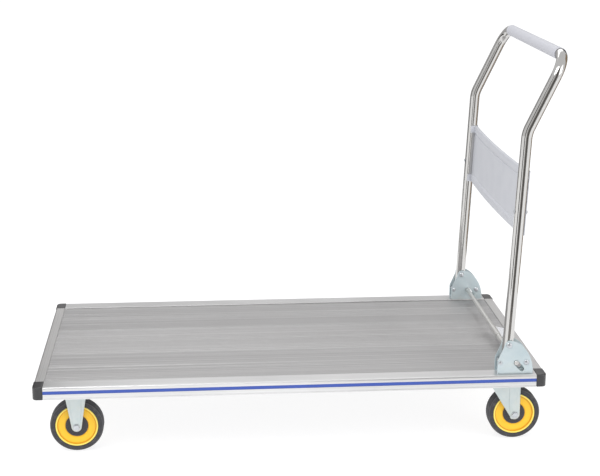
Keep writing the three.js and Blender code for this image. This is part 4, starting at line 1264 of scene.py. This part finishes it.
def add_light(name, place, target, size, power):
    data = bpy.data.lights.new(name, "AREA")
    data.shape = "RECTANGLE"
    data.size, data.size_y = size
    data.energy = power
    light = bpy.data.objects.new(name, data)
    light.location = place
    light.rotation_euler = (Vector(target) - Vector(place)).to_track_quat("-Z", "Y").to_euler()
    bpy.context.scene.collection.objects.link(light)


def add_world():
    """A soft white tent, a little dimmer overhead."""
    world = bpy.data.worlds.new("tent")
    bpy.context.scene.world = world
    world.use_nodes = True
    tree = world.node_tree
    background = tree.nodes["Background"]
    place = tree.nodes.new("ShaderNodeTexCoord").outputs["Generated"]
    split = tree.nodes.new("ShaderNodeSeparateXYZ")
    tree.links.new(place, split.inputs["Vector"])
    ramp = tree.nodes.new("ShaderNodeValToRGB")
    elements = ramp.color_ramp.elements
    elements[0].position, elements[0].color = 0.0, (1.0, 1.0, 1.0, 1)
    elements[1].position, elements[1].color = 1.0, (0.95, 0.95, 0.96, 1)
    tree.links.new(split.outputs["Z"], ramp.inputs["Fac"])
    tree.links.new(ramp.outputs["Color"], background.inputs["Color"])
    background.inputs["Strength"].default_value = 0.8


def add_camera():
    data = bpy.data.cameras.new("camera")
    data.sensor_width = 36.0
    data.lens = 84.0
    camera = bpy.data.objects.new("camera", data)
    camera.location = (-0.2315, -3.382, 1.327)
    camera.rotation_euler = (math.radians(75.41), 0.0, math.radians(-4.36))
    bpy.context.scene.collection.objects.link(camera)
    bpy.context.scene.camera = camera


def add_studio():
    add_floor()
    add_world()
    add_light("key", (-1.6, -2.2, 3.4), (0.1, 0, 0.3), (2.6, 1.8), 60)
    add_light("fill", (2.4, -2.6, 1.8), (0.2, 0, 0.3), (2.0, 2.0), 26)
    add_light("back", (0.2, 2.8, 3.0), (0.1, 0, 0.2), (3.0, 1.4), 20)
    add_card("card_back", (0, 2.3, 0), (0, -1), (7.0, 1.7), (182, 181, 181))
    add_card("card_front", (0.52, -1.04, 0), (0, 1), (0.75, 1.5), (142, 139, 136))
    add_card("card_slot", (0.54, -1.0, 0.12), (0, 1), (0.17, 1.4), (18, 18, 18))
    add_card("card_right", (1.55, 0.2, 0), (-1, -0.2), (0.7, 1.6), (150, 128, 102))
    add_card("card_edge", (1.3, 0.95, 0), (-1, -0.6), (0.6, 1.6), (44, 40, 38))
    add_card("card_left", (-0.75, -1.3, 0), (1, 0.8), (0.5, 1.5), (92, 90, 88))
    add_card("card_far_left", (-0.9, 0.9, 0), (1, -0.8), (0.5, 1.6), (60, 58, 56))
    bpy.context.scene.view_settings.view_transform = "Standard"


add_camera()
add_studio()
add_deck()
add_caps()
add_tube()
add_grip()
add_panel()
add_brackets()
add_lock()
for side_name, _ in SIDES:
    add_rigid_caster(side_name)
    add_swivel_caster(side_name)
